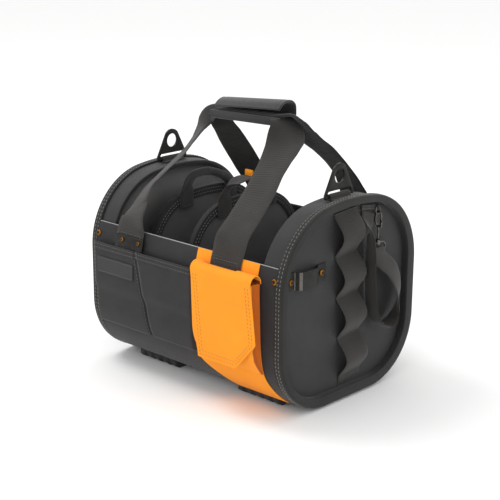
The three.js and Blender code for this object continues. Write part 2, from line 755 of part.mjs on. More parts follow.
// The grip wrap is a C that stands open to the front
function addGripWrap() {
  const stack = 4 * STRAP_THICKNESS + layerGap + 2 * GAP;
  const half = STRAP_FOLDED_WIDTH / 2 + 1 + GAP + WRAP_THICKNESS / 2;
  const outline = (x) => {
    const share = (x + gripHalf) / GRIP_LENGTH;
    const height = mix(WRAP_HEIGHT_LEFT, WRAP_HEIGHT_RIGHT, share) - WRAP_THICKNESS;
    const bottom = gripAt(x) - STRAP_THICKNESS - GAP - WRAP_THICKNESS / 2;
    const top = bottom + Math.max(height, stack + WRAP_THICKNESS);
    return [
      { y: -half, z: bottom + WRAP_BAND_HEIGHT },
      { y: -half - 0.6, z: bottom + WRAP_BAND_HEIGHT * 0.5 },
      { y: -half, z: bottom + 1.6 },
      { y: -half + 1.6, z: bottom },
      { y: half - 1.6, z: bottom },
      { y: half, z: bottom + 1.6 },
      { y: half + 1.5, z: mix(bottom, top, 0.5) },
      { y: half, z: mix(bottom, top, 0.8) },
      { y: half * 0.6, z: mix(bottom, top, 0.96) },
      { y: half * 0.1, z: top },
      { y: -half * 0.6, z: mix(bottom, top, 0.92) },
      { y: -half * 1.1, z: mix(bottom, top, 0.78) },
    ];
  };
  const section = (x) => {
    const line = outline(x);
    const shifted = (sign) =>
      line.map((p, i) => {
        const before = line[Math.max(i - 1, 0)];
        const after = line[Math.min(i + 1, line.length - 1)];
        const dy = after.y - before.y;
        const dz = after.z - before.z;
        const offset = (sign * WRAP_THICKNESS) / 2 / Math.hypot(dy, dz);
        return vec(x, p.y + dz * offset, p.z - dy * offset);
      });
    return [...shifted(1), ...shifted(-1).reverse()];
  };
  const steps = 4;
  const sections = [];
  for (let step = 0; step <= steps; step += 1) {
    sections.push(section(mix(-gripHalf, gripHalf, step / steps)));
  }
  addPiece("grip_wrap", loft(sections), "fabric");
}

// The orange panel runs from the rim down round the lower corner
const panelOutside = PANEL_THICKNESS + GAP;
const flapTop = RIM_HEIGHT - FLAP_RIM_DROP;
const pouchTop = flapTop - POUCH_FLAP_DROP;
const pouchLeftX = PANEL_LEFT_X + POUCH_INSET;
const pouchRightX = panelRightX + POUCH_OVERHANG;
const flapLeftX = pouchLeftX + FLAP_INSET;
const flapWidth = pouchRightX - pouchLeftX + FLAP_OVERLAP;

function addOrangePanel() {
  const heights = frontHeights(PANEL_FOOT_HEIGHT, RIM_HEIGHT);
  const row = (depth) =>
    heights.map((z) => {
      const spot = frontFacetAt(z);
      const below = smooth(POUCH_BOTTOM_HEIGHT - z, 0, POUCH_BOTTOM_HEIGHT - PANEL_FOOT_HEIGHT);
      const flare = 1 + below - smooth(z, POUCH_BOTTOM_HEIGHT, RIM_HEIGHT);
      const left = PANEL_LEFT_X + below * PANEL_FOOT_SLANT;
      const right = panelRightX + flare * PANEL_FOOT_FLARE;
      return [left, mix(left, right, 0.5), right].map((x) => inset(x, spot, depth));
    });
  addPiece("orange_panel", sheet(row(-panelOutside), row(-GAP)), "orange");
}

// The pouch is a front panel with folded gussets, sewn to the panel behind
function addPouch() {
  const back = panelOutside + GAP;
  const middle = mix(POUCH_BOTTOM_HEIGHT, pouchTop, 0.5);
  const levels = [...frontHeights(POUCH_BOTTOM_HEIGHT, pouchTop), middle].sort((a, b) => a - b);
  const sections = levels.map((z) => {
    const wallY = frontFacetAt(z).y;
    const share = (z - POUCH_BOTTOM_HEIGHT) / (pouchTop - POUCH_BOTTOM_HEIGHT);
    const full = 0.16 + 0.84 * Math.sin(quarter * Math.min(share / POUCH_FILLED_FROM, 1));
    const lean = (1 - share) * POUCH_LEAN;
    const left = pouchLeftX + lean;
    const right = pouchRightX + lean;
    const depth = back + POUCH_DEPTH * full;
    const half = mix(back, depth, 0.5);
    const fold = Math.min(POUCH_FOLD, (depth - back) / 4);
    const at = (x, out) => vec(x, wallY - out, z);
    const wall = POUCH_WALL;
    return [
      at(left, back),
      at(left + fold, half),
      at(left, depth),
      at(right, depth),
      at(right - fold, half),
      at(right, back),
      at(right - wall, back),
      at(right - fold - wall, half),
      at(right - wall, depth - wall),
      at(left + wall, depth - wall),
      at(left + fold + wall, half),
      at(left + wall, back),
    ];
  });
  addPiece("pouch_body", loft(sections), "orange");
}

function addFlap() {
  const onPanel = panelOutside + GAP;
  const overStrap = onPanel + STRAP_THICKNESS + GAP;
  const outside = onPanel + POUCH_DEPTH + GAP;
  const springZ = flapTop - FLAP_THICKNESS - (outside - overStrap) / 2;
  const wallY = -BAG_WIDTH / 2;
  const chamferZ = FLAP_BOTTOM_HEIGHT + FLAP_CHAMFER;
  const rows = [{ back: 1, angle: 180, z: springZ - FLAP_TAIL }];
  for (let step = 0; step <= 6; step += 1) {
    rows.push({ angle: 180 - step * 30, z: springZ });
  }
  for (const z of [mix(springZ, chamferZ, 0.35), mix(springZ, chamferZ, 0.7), chamferZ, FLAP_BOTTOM_HEIGHT]) {
    rows.push({ angle: 0, z });
  }
  const shoulder = STRAP_WIDTH / 2 + FLAP_STRAP_MARGIN;
  const grid = (shift) =>
    rows.map((row, i) => {
      const leaned = ((flapTop - row.z) / (flapTop - FLAP_BOTTOM_HEIGHT)) * FLAP_LEAN;
      const left = flapLeftX + leaned;
      const right = left + flapWidth - (i === rows.length - 1 ? FLAP_CHAMFER : 0);
      const overLeft = Math.max(strapRightX - shoulder, left + 1);
      const overRight = strapRightX + shoulder;
      const over = [overLeft, overLeft + FLAP_STRAP_MARGIN, overRight - FLAP_STRAP_MARGIN, overRight];
      const columns = [left, ...over, right];
      return columns.map((x, column) => {
        const back = column > 1 && column < 4 ? overStrap : onPanel;
        const radius = (outside - back) / 2 + shift;
        const angle = radians(row.angle);
        const out = (outside + back) / 2 + radius * Math.cos(angle);
        return vec(Math.min(x, right), wallY - out, row.z + radius * Math.sin(angle));
      });
    });
  addPiece("pouch_flap", sheet(grid(FLAP_THICKNESS), grid(0)), "orange");
}

// The front pocket stands off the wall between its seams
const pocketLeftX = -bindingX + GAP;
const pocketRightX = PANEL_LEFT_X - POCKET_PANEL_GAP;
const pocketTop = RIM_HEIGHT - POCKET_RIM_DROP;

function pocketSeamX(z) {
  const share = (z - POCKET_BOTTOM_HEIGHT) / (pocketTop - POCKET_BOTTOM_HEIGHT);
  return mix(POCKET_SEAM_BOTTOM_X, POCKET_SEAM_TOP_X, share);
}

function pocketStandoff(x, z) {
  const seam = pocketSeamX(z);
  const [low, high] = x < seam ? [pocketLeftX, seam] : [seam, pocketRightX];
  const across = Math.sin(Math.PI * THREE.MathUtils.clamp((x - low) / (high - low), 0, 1));
  const up = smooth(z, POCKET_BOTTOM_HEIGHT, mix(POCKET_BOTTOM_HEIGHT, pocketTop, 0.25));
  const strapFootZ = RIM_HEIGHT - STRAP_SEWN_LENGTH - POCKET_STRAP_CLEARANCE;
  const strapTop = smooth(z, strapFootZ - POCKET_STRAP_RAMP, strapFootZ);
  const least = mix(GAP, strapFront + STRAP_THICKNESS / 2 + GAP, strapTop);
  return least + (POCKET_BULGE - least * 0.4) * Math.sqrt(across) * up;
}

function addPocket() {
  const columns = 6;
  const heights = frontHeights(POCKET_BOTTOM_HEIGHT, pocketTop);
  const hemLow = pocketTop - POCKET_HEM_HEIGHT;
  const levels = [
    pocketTop,
    hemLow,
    hemLow - 1,
    ...heights.filter((z) => z < hemLow - 6 && z > POCKET_BOTTOM_HEIGHT),
    118,
    102,
    POCKET_BOTTOM_HEIGHT,
  ].sort((a, b) => b - a);
  const grid = (outer) =>
    levels.map((z) => {
      const seam = pocketSeamX(z);
      const row = [];
      const surface = Math.min(frontFacetAt(z).y, frontAt(z).y);
      const push = (x) => {
        const extra = outer ? (z >= hemLow ? POCKET_HEM_THICKNESS : POCKET_THICKNESS) : 0;
        row.push(vec(x, surface - pocketStandoff(x, z) - extra, z));
      };
      for (let i = 0; i < columns; i += 1) {
        push(mix(pocketLeftX, seam, i / columns));
      }
      for (let i = 0; i <= columns; i += 1) {
        push(mix(seam, pocketRightX, i / columns));
      }
      return row;
    });
  addPiece("front_pocket", sheet(grid(true), grid(false)), "fabric");

  const patchColumns = 4;
  const patchX = pocketLeftX + PATCH_SIDE_MARGIN + PATCH_WIDTH / 2;
  const patchZ = hemLow - PATCH_HEM_DROP - PATCH_HEIGHT / 2;
  const patchGrid = (out) =>
    [0.5, 0, -0.5].map((share) => {
      const z = patchZ + share * PATCH_HEIGHT;
      const row = [];
      for (let i = 0; i <= patchColumns; i += 1) {
        const x = patchX + (i / patchColumns - 0.5) * PATCH_WIDTH;
        const surface = frontAt(z).y - pocketStandoff(x, z) - POCKET_THICKNESS;
        row.push(vec(x, surface - out, z));
      }
      return row;
    });
  addPiece("label_patch", sheet(patchGrid(2 * GAP + PATCH_THICKNESS), patchGrid(2 * GAP)), "patch");
}

// Carry rings: a pierced plate on a round bar that turns under a keeper sewn to the hoop
const ringX = endX - RING_END_INSET;
const ringSeat = END_HEIGHT - hoopOuter + 2 * GAP;
const ringAxisHeight = ringSeat + KEEPER_THICKNESS + GAP + RING_BAR_RADIUS;

function ringPlate() {
  const half = RING_WIDTH / 2;
  const foot = RING_BAR_RADIUS * 0.9;
  const topZ = RING_HEIGHT - RING_TOP_RADIUS;
  const shape = new THREE.Shape();
  shape.moveTo(-half, -foot);
  shape.lineTo(-half + (half - RING_SLOT_LENGTH / 2), -foot);
  shape.lineTo(-RING_SLOT_LENGTH / 2, RING_SLOT_HEIGHT + RING_BAR_RADIUS);
  shape.lineTo(RING_SLOT_LENGTH / 2, RING_SLOT_HEIGHT + RING_BAR_RADIUS);
  shape.lineTo(RING_SLOT_LENGTH / 2, -foot);
  shape.lineTo(half, -foot);
  shape.lineTo(half, 3);
  shape.absarc(0, topZ, RING_TOP_RADIUS, radians(38), radians(142), false);
  shape.lineTo(-half, 3);
  const hole = new THREE.Path();
  hole.absarc(0, topZ - 1, RING_HOLE_RADIUS, 0, Math.PI * 2, true);
  shape.holes.push(hole);
  const options = { depth: RING_PLATE, bevelEnabled: false, curveSegments: 7 };
  const plate = new THREE.ExtrudeGeometry(shape, options);
  plate.translate(0, 0, -RING_PLATE / 2);
  plate.applyMatrix4(new THREE.Matrix4().makeBasis(vec(0, 1, 0), vec(0, 0, 1), vec(1, 0, 0)));
  const bar = new THREE.CylinderGeometry(RING_BAR_RADIUS, RING_BAR_RADIUS, RING_WIDTH - 1, 10);
  return unite(plate, bar);
}

function addRing(side, word) {
  const ring = addPiece(`ring_${word}`, ringPlate(), "black_metal");
  ring.position.set(side * ringX, 0, ringAxisHeight);

  const hump = RING_BAR_RADIUS + GAP;
  const t = KEEPER_THICKNESS;
  const foot = KEEPER_FOOT;
  const lower = [];
  const upper = [];
  for (let step = 0; step <= 6; step += 1) {
    const angle = Math.PI * (1 - step / 6);
    lower.push([hump * Math.cos(angle), hump * Math.sin(angle)]);
    upper.push([(hump + t) * Math.cos(angle), (hump + t) * Math.sin(angle)]);
  }
  const down = -(hump + t);
  const section = [
    [-foot, down],
    [foot, down],
    [foot, down + t * 1.5],
    [hump + t, down + t * 1.5],
    ...upper.slice(1, -1).reverse(),
    [-hump - t, down + t * 1.5],
    [-foot, down + t * 1.5],
  ];
  const outer = new THREE.Shape(section.map(([x, z]) => new THREE.Vector2(x, z)));
  const bore = new THREE.Path();
  bore.absarc(0, 0, hump, 0, Math.PI * 2, true);
  outer.holes.push(bore);
  const options = { depth: KEEPER_WIDTH, bevelEnabled: false, curveSegments: 5 };
  const keeper = new THREE.ExtrudeGeometry(outer, options);
  keeper.translate(0, 0, -KEEPER_WIDTH / 2);
  keeper.applyMatrix4(new THREE.Matrix4().makeBasis(vec(-1, 0, 0), vec(0, 0, 1), vec(0, 1, 0)));
  const piece = addPiece(`ring_keeper_${word}`, keeper, "webbing");
  piece.position.set(side * ringX, 0, ringAxisHeight);
}

// Rivets are low domes with their axis along +Z before they are turned
function rivet(name, radius, point, normal) {
  const profile = [
    [0, 0],
    [radius, 0],
    [radius, RIVET_HEIGHT * 0.35],
    [radius * 0.65, RIVET_HEIGHT],
    [radius * 0.4, RIVET_HEIGHT * 0.7],
    [0, RIVET_HEIGHT * 0.7],
  ].map(([r, z]) => new THREE.Vector2(r, z));
  const geometry = new THREE.LatheGeometry(profile, 10);
  geometry.rotateX(quarter);
  const piece = addPiece(name, geometry, "copper");
  piece.position.copy(point);
  piece.quaternion.setFromUnitVectors(vec(0, 0, 1), normal);
}

function addCornerRivets() {
  const spot = frontFacetAt(RIM_HEIGHT - RIVET_RIM_DROP);
  for (const [side, sideWord] of [[-1, "left"], [1, "right"]]) {
    for (const [face, faceWord] of [[-1, "front"], [1, "back"]]) {
      const x = side * rivetX;
      const normal = vec(0, face * -spot.ny, spot.nz);
      const point = vec(x, face * -spot.y, spot.z).addScaledVector(normal, GAP);
      rivet(`rivet_${faceWord}_${sideWord}`, RIVET_RADIUS, point, normal);
    }
  }
}

function addBarClip() {
  const spot = frontFacetAt(RIM_HEIGHT - BAR_CLIP_RIM_DROP);
  const normal = vec(0, spot.ny, spot.nz);
  const up = vec(0, -spot.nz, spot.ny).multiplyScalar(-1);
  const seat = strapFront + STRAP_THICKNESS / 2 + 2 * GAP;
  const w = BAR_CLIP_WIDTH / 2;
  const h = BAR_CLIP_HEIGHT / 2;
  const t = BAR_CLIP_THICKNESS;
  const profile = [
    [-h, 0],
    [h, 0],
    [h, t * 0.6],
    [h - 2, t],
    [-h + 2, t],
    [-h, t * 0.6],
  ];
  const at = (x, rise, out) =>
    vec(x, spot.y, spot.z).addScaledVector(normal, seat + out).addScaledVector(up, rise);
  const endAt = (x) => profile.map(([rise, out]) => at(x, rise, out));
  const sections = [endAt(strapLeftX - w), endAt(strapLeftX + w)];
  addPiece("bar_clip_front", loft(sections), "black_metal");
  for (const [side, word] of [[-1, "left"], [1, "right"]]) {
    const point = at(strapLeftX + side * (w - 2 * BAR_CLIP_RIVET_RADIUS), 0, t + GAP);
    rivet(`bar_clip_rivet_${word}`, BAR_CLIP_RIVET_RADIUS, point, normal);
  }
}

// The end clip is one bent strip: foot, ramp, bridge, ramp, foot
function addTapeClip() {
  const half = TAPE_CLIP_LENGTH / 2;
  const inner = half - TAPE_CLIP_FOOT;
  const t = TAPE_CLIP_PLATE;
  const lift = TAPE_CLIP_STANDOFF;
  const ramp = TAPE_CLIP_RAMP;
  const under = [
    [-half, 0],
    [-inner, 0],
    [-inner + ramp, lift],
    [inner - ramp * 2, lift],
    [inner, 0],
    [half, 0],
  ];
  const over = under.map(([y, x]) => [y, x + t]).reverse();
  over[1][0] += 1;
  over[4][0] -= 1;
  const h = TAPE_CLIP_WIDTH / 2;
  const centreY = half + TAPE_CLIP_MARGIN - lipSideAt(TAPE_CLIP_CENTRE_HEIGHT + h);
  const level = (z) => [...under, ...over].map(([y, x]) => vec(faceSeat + x, centreY + y, z));
  const ends = [level(TAPE_CLIP_CENTRE_HEIGHT - h), level(TAPE_CLIP_CENTRE_HEIGHT + h)];
  addPiece("tape_clip", loft(ends), "black_metal");
  for (const [side, word] of [[-1, "left"], [1, "right"]]) {
    const y = centreY + side * (half - TAPE_CLIP_FOOT / 2);
    const point = vec(faceSeat + t + GAP, y, TAPE_CLIP_CENTRE_HEIGHT);
    rivet(`tape_clip_rivet_${word}`, RIVET_RADIUS, point, vec(1, 0, 0));
  }
}

// The loop strip is sewn down between its bulges and leans a little
const loopTopZ = END_HEIGHT - LOOP_TOP_DROP;
const loopLowZ = FOOT_DROP + lipDepth + LOOP_FOOT_MARGIN + LOOP_TAIL;
const loopPitch = (loopTopZ - loopLowZ) / LOOP_COUNT;
const loopRightY = LOOP_LEFT_TOP_Y + LOOP_WIDTH;

function addToolLoops() {
  const rows = [];
  const perLoop = 6;
  rows.push({ z: LOOP_TOP_TAIL, out: 0 });
  for (let loop = 0; loop < LOOP_COUNT; loop += 1) {
    for (let step = 0; step < perLoop; step += 1) {
      const share = step / perLoop;
      rows.push({ z: -(loop + share) * loopPitch, out: Math.sin(Math.PI * share) ** 0.7 * LOOP_BULGE });
    }
  }
  rows.push({ z: -LOOP_COUNT * loopPitch, out: 0 });
  rows.push({ z: -LOOP_COUNT * loopPitch - LOOP_TAIL, out: 0 });
  const section = (y) => {
    const inner = rows.map((row) => vec(row.out, y, row.z));
    const outer = rows.map((row) => vec(row.out + LOOP_THICKNESS, y, row.z)).reverse();
    return [...inner, ...outer];
  };
  const strip = addPiece("tool_loops", loft([section(0), section(LOOP_WIDTH)]), "webbing");
  strip.position.set(faceSeat, LOOP_LEFT_TOP_Y, loopTopZ);
  strip.rotation.x = radians(LOOP_LEAN);
}

// The anchor is sewn flat at the top of the face; a wire link hangs in a fold at its right end
const anchorRightY = loopRightY + ANCHOR_LOOP_OFFSET;
const anchorTopZ = lipTopAt(anchorRightY) - ANCHOR_MARGIN;
const linkY = anchorRightY - LINK_INSET;
const linkBore = LINK_WIRE / 2 + GAP;
const linkX = faceSeat + ANCHOR_THICKNESS + linkBore;
const linkTopZ = anchorTopZ - linkBore - 1.2;
const linkLowZ = linkTopZ - LINK_DROP;

function addAnchor() {
  const flat = new THREE.BoxGeometry(ANCHOR_THICKNESS, ANCHOR_LENGTH, ANCHOR_HEIGHT);
  flat.translate(0, -ANCHOR_LENGTH / 2, -ANCHOR_HEIGHT / 2);
  flat.rotateX(radians(-ANCHOR_LEAN));
  flat.translate(faceSeat + ANCHOR_THICKNESS / 2, anchorRightY, anchorTopZ);
  const wall = linkBore + 1.2;
  const shape = new THREE.Shape();
  shape.moveTo(-linkBore - 1, -wall);
  shape.lineTo(0, -wall);
  shape.absarc(0, 0, wall, -quarter, quarter, false);
  shape.lineTo(-linkBore - 1, wall);
  const bore = new THREE.Path();
  bore.absarc(0, 0, linkBore, 0, Math.PI * 2, true);
  shape.holes.push(bore);
  const sleeve = LINK_WIDTH - 2 * LINK_WIRE;
  const fold = new THREE.ExtrudeGeometry(shape, { depth: sleeve, bevelEnabled: false, curveSegments: 5 });
  fold.translate(0, 0, -sleeve / 2);
  fold.applyMatrix4(new THREE.Matrix4().makeBasis(vec(1, 0, 0), vec(0, 0, 1), vec(0, -1, 0)));
  fold.translate(linkX, linkY, linkTopZ);
  addPiece("tape_anchor", unite(flat, fold), "webbing");

  const half = (LINK_WIDTH - LINK_WIRE) / 2;
  const corner = 1.2;
  const middleZ = (linkTopZ + linkLowZ) / 2;
  const tall = (linkTopZ - linkLowZ) / 2;
  const at = (y, z) => vec(linkX, linkY + y, middleZ + z);
  const route = [
    at(half, corner - tall),
    at(half, tall - corner),
    at(half - corner, tall),
    at(corner - half, tall),
    at(-half, tall - corner),
    at(-half, corner - tall),
    at(corner - half, -tall),
    at(half - corner, -tall),
  ];
  addPiece("hook_link", wire(route, LINK_WIRE, 6, 24, true), "steel");
}

// The snap hook hangs on the link's lower bar
const hookX = linkX - LINK_WIRE / 2 - GAP - HOOK_WIRE / 2 + HOOK_EYE_WIDTH / 2;
const hookTopZ = linkLowZ + LINK_WIRE / 2 + GAP + HOOK_WIRE / 2;
const hookBottomZ = hookTopZ - HOOK_EYE_HEIGHT;
const stemEndZ = hookBottomZ - HOOK_STEM;
const barrelLowZ = stemEndZ - GAP - HOOK_BARREL_LENGTH;
const baseLowZ = barrelLowZ - HOOK_BASE_HEIGHT + 3;

function addHook() {
  const half = HOOK_EYE_WIDTH / 2;
  const tipZ = hookTopZ - HOOK_EYE_HEIGHT * 0.42;
  const eye = [
    vec(half, 0, tipZ),
    vec(half, 0, hookTopZ - HOOK_EYE_HEIGHT * 0.22),
    vec(half * 0.7, 0, hookTopZ - HOOK_EYE_HEIGHT * 0.06),
    vec(0, 0, hookTopZ),
    vec(-half * 0.7, 0, hookTopZ - HOOK_EYE_HEIGHT * 0.06),
    vec(-half, 0, hookTopZ - HOOK_EYE_HEIGHT * 0.22),
    vec(-half, 0, hookTopZ - HOOK_EYE_HEIGHT * 0.8),
    vec(-half * 0.4, 0, hookBottomZ - 1),
    vec(0, 0, hookBottomZ - 4),
    vec(0, 0, mix(hookBottomZ, stemEndZ, 0.6)),
    vec(0, 0, stemEndZ),
  ];
  const body = wire(eye, HOOK_WIRE, 6, 22);
  const knuckleTop = hookBottomZ;
  const knuckle = new THREE.BoxGeometry(half + HOOK_WIRE, HOOK_WIRE, HOOK_WIRE);
  knuckle.translate((half + HOOK_WIRE) / 2 - HOOK_WIRE / 2, 0, knuckleTop - HOOK_WIRE / 2);
  const hook = unite(body, knuckle);
  hook.translate(hookX, linkY, 0);
  addPiece("hook_body", hook, "steel");

  const w = HOOK_GATE_WIDTH / 2;
  const pinZ = knuckleTop + GAP + w;
  const length = tipZ - 2 * GAP - pinZ;
  const gate = new THREE.BoxGeometry(HOOK_GATE_WIDTH, HOOK_GATE_WIDTH, length);
  gate.translate(0, 0, length / 2);
  const pin = new THREE.CylinderGeometry(w, w, HOOK_GATE_WIDTH, 10);
  const thumb = new THREE.BoxGeometry(HOOK_GATE_WIDTH, HOOK_GATE_WIDTH, HOOK_GATE_WIDTH);
  thumb.translate(w, 0, length * 0.5);
  const lever = addPiece("hook_gate", unite(gate, pin, thumb), "steel");
  lever.position.set(hookX + half, linkY, pinZ);

  const barrel = new THREE.CylinderGeometry(HOOK_BARREL_RADIUS, HOOK_BARREL_RADIUS, HOOK_BARREL_LENGTH, 8);
  barrel.rotateX(quarter);
  barrel.translate(hookX, linkY, barrelLowZ + HOOK_BARREL_LENGTH / 2);
  const reach = HOOK_BASE_WIDTH / 2;
  const loop = [
    { y: -0.75, z: 0 },
    { y: 0, z: -0.04 },
    { y: 0.75, z: 0 },
    { y: 1, z: 0.35 },
    { y: 0.8, z: 0.85 },
    { y: 0.4, z: 0.98 },
    { y: 0, z: 0.8 },
    { y: -0.4, z: 0.98 },
    { y: -0.8, z: 0.85 },
    { y: -1, z: 0.35 },
  ].map((p) => vec(hookX, linkY + p.y * reach, baseLowZ + p.z * HOOK_BASE_HEIGHT));
  addPiece("hook_base", unite(barrel, wire(loop, HOOK_BASE_WIRE, 6, 24, true)), "steel");
}

// The tape comes off the face under the anchor, hangs in a loop and ends over the base of the hook
function addTapeLoop() {
  const tapeOut = LOOP_BULGE + TAPE_LOOP_STANDOFF;
  const tapeLeftY = loopRightY + TAPE_LOOP_OFFSET;
  const topZ = anchorTopZ - ANCHOR_HEIGHT - 0.5;
  const left = [
    { out: 0.1, y: 0.14, z: 1, turn: -90 },
    { out: 0.2, y: 0.1, z: 0.955, turn: -84 },
    { out: 0.6, y: 0.03, z: 0.9, turn: -60 },
    { out: 1, y: 0, z: 0.83, turn: -30 },
    { out: 1.05, y: 0.02, z: 0.66, turn: -20 },
    { out: 1, y: 0.05, z: 0.42, turn: -18 },
    { out: 1, y: 0.12, z: 0.2, turn: -12 },
    { out: 1, y: 0.28, z: 0.06, turn: -6 },
    { out: 1.05, y: 0.52, z: 0, turn: 0 },
  ];
  const right = [
    { out: 1.1, y: 0.76, z: 0.05, turn: -18 },
    { out: 1.1, y: 0.93, z: 0.22, turn: -45 },
    { out: 1.05, y: 0.97, z: 0.45, turn: -66 },
    { out: 0.9, y: 0.8, z: 0.7, turn: -84 },
  ];
  const row = ({ out, y, z, turn }, high) => ({
    centre: vec(faceSeat + out * tapeOut, tapeLeftY + y * TAPE_SPAN, mix(TAPE_BOTTOM_HEIGHT, high, z)),
    turn,
    width: TAPE_WIDTH,
    thickness: TAPE_THICKNESS,
  });
  const frontX = hookX + (HOOK_BASE_WIRE + TAPE_THICKNESS) / 2 + 3 * GAP;
  const ends = [-5, 5].map((rise) => ({
    centre: vec(frontX, linkY, baseLowZ + rise),
    turn: -90,
    width: TAPE_WIDTH,
    thickness: TAPE_THICKNESS,
  }));
  const rows = [...left.map((r) => row(r, topZ)), ...right.map((r) => row(r, baseLowZ)), ...ends];
  addPiece("tape_loop", band(stationsAlong(rows, 2)), "webbing");
}

// Rubber feet follow the lower corner, with ribs across their outer face
const footOuterY = -frontAt(PANEL_FOOT_HEIGHT - FOOT_PANEL_DROP).y;
const footInnerY = footOuterY - FOOT_WIDTH;
const underside = fullOutline
  .filter((p) => p.y >= 0 && p.z <= lowerCentre.z + 0.01)
  .sort((p, q) => p.y - q.y);

function undersideAt(y) {
  const next = underside.findIndex((p) => p.y > y);
  const [inner, outer] = [underside[next - 1], underside[next]];
  return mix(inner.z, outer.z, (y - inner.y) / (outer.y - inner.y));
}

function addFoot(sideX, sideY, name) {
  const corners = underside.filter((p) => p.y > footInnerY + 1 && p.y < footOuterY - 1).map((p) => p.y);
  const tops = [footOuterY, ...corners.toReversed(), footInnerY].map((y) => [y, undersideAt(y) - GAP]);
  const kneeZ = (undersideAt(footOuterY) - GAP) * 0.45;
  const profile = (rib) => [
    [footInnerY, 0],
    [footOuterY - FOOT_TOE - rib, 0],
    [footOuterY - rib, kneeZ],
    ...tops,
  ];
  const sections = [];
  const cells = FOOT_RIBS * 2 - 1;
  for (let cell = 0; cell < cells; cell += 1) {
    const rib = cell % 2 === 0 ? 0 : FOOT_RIB_DEPTH;
    const from = (cell / cells - 0.5) * FOOT_LENGTH;
    const to = ((cell + 1) / cells - 0.5) * FOOT_LENGTH;
    for (const x of [from + 0.4, to - 0.4]) {
      sections.push(profile(rib).map(([y, z]) => vec(sideX * FOOT_CENTRE_X + x, sideY * y, z)));
    }
  }
  addPiece(name, loft(sections), "rubber");
}

addBody();
addEnd(-1, "left");
addEnd(1, "right");
addRimStrips();
for (const [name, x] of Object.entries(DIVIDERS)) {
  addDivider(name, x);
}
addPaddedHandle(DIVIDERS.divider_1);
addWebHandle(DIVIDERS.divider_2);
addStraps();
addGripWrap();
addOrangePanel();
addPouch();
addFlap();
addPocket();
addRing(-1, "left");
addRing(1, "right");
addCornerRivets();
addBarClip();
addTapeClip();
addToolLoops();
addAnchor();
addHook();
addTapeLoop();
addFoot(-1, -1, "foot_front_left");
addFoot(1, -1, "foot_front_right");
addFoot(-1, 1, "foot_back_left");
addFoot(1, 1, "foot_back_right");

// The origin sits under the middle of the whole bag, on the floor
bag.updateMatrixWorld(true);
const reach = new THREE.Box3().setFromObject(bag);
bag.position.set(-(reach.min.x + reach.max.x) / 2, -(reach.min.y + reach.max.y) / 2, 0);

export default bag;
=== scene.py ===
"""Looks of the open-top tool bag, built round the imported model.

Shapes are worked out in millimetres in the bag's own frame (long side along X, front wall towards -Y,
feet on z = 0) and put into the scene in metres by place().
"""

import math

import bpy
import numpy as np
from mathutils import Matrix, Vector


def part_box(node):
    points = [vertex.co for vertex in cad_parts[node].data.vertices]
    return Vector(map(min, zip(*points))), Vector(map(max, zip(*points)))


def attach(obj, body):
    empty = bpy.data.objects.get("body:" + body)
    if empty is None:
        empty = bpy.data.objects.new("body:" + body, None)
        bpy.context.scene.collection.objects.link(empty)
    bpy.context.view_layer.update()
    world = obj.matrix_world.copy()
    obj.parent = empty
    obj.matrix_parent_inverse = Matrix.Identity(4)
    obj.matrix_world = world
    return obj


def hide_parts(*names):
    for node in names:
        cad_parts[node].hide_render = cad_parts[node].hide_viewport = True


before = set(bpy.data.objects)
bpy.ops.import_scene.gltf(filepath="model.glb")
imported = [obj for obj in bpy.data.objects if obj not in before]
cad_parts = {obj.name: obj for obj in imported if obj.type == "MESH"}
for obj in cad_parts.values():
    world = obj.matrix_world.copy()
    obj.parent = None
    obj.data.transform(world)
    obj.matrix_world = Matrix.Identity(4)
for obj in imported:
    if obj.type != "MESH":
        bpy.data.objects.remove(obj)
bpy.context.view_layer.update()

# The bag's own frame, found from its two end bindings
left_low, left_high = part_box("end_binding_left")
right_low, right_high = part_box("end_binding_right")
MM = 0.001
SHIFT = np.array([(left_low.x + right_high.x) / 2, (left_low.y + left_high.y) / 2, 0.0]) / MM

# Driving dimensions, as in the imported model
LENGTH = 336.0
WIDTH = 255.0
END_TOP = 257.0
RIM = 192.0
FLOOR = 3.0
LOWER_RADIUS = 83.0
UPPER_RADIUS = 97.0
CROWN_RADIUS = 300.0
WALL = 2.5
GAP = 0.3
BINDING_WIDTH = 12.0
BINDING_THICKNESS = 2.0
HOOP_DEPTH = 38.0
HOOP_THICKNESS = 6.0
FACE_THICKNESS = 4.0
FACE_RECESS = 10.0
STRAP_WIDTH = 50.0
STRAP_THICKNESS = 2.2

END_X = LENGTH / 2
BINDING_X = END_X - BINDING_WIDTH
FACE_X = END_X - FACE_RECESS
FACE_SEAT = FACE_X + GAP
LINING_X = END_X - HOOP_DEPTH + 9
LINING_SWELL = 13.0
LIP_SPREAD = 3.6
HOOP_OUT = WALL + GAP
HOOP_IN = HOOP_OUT + HOOP_THICKNESS


# Numbers and points


def mix(a, b, t):
    return a + (b - a) * t


def smooth(x, low, high):
    t = np.clip((np.asarray(x, float) - low) / (high - low), 0, 1)
    return t * t * (3 - 2 * t)


def unit(v):
    v = np.asarray(v, float)
    return v / np.maximum(np.linalg.norm(v, axis=-1, keepdims=True), 1e-9)


def place(points):
    return (np.asarray(points, float) + SHIFT) * MM


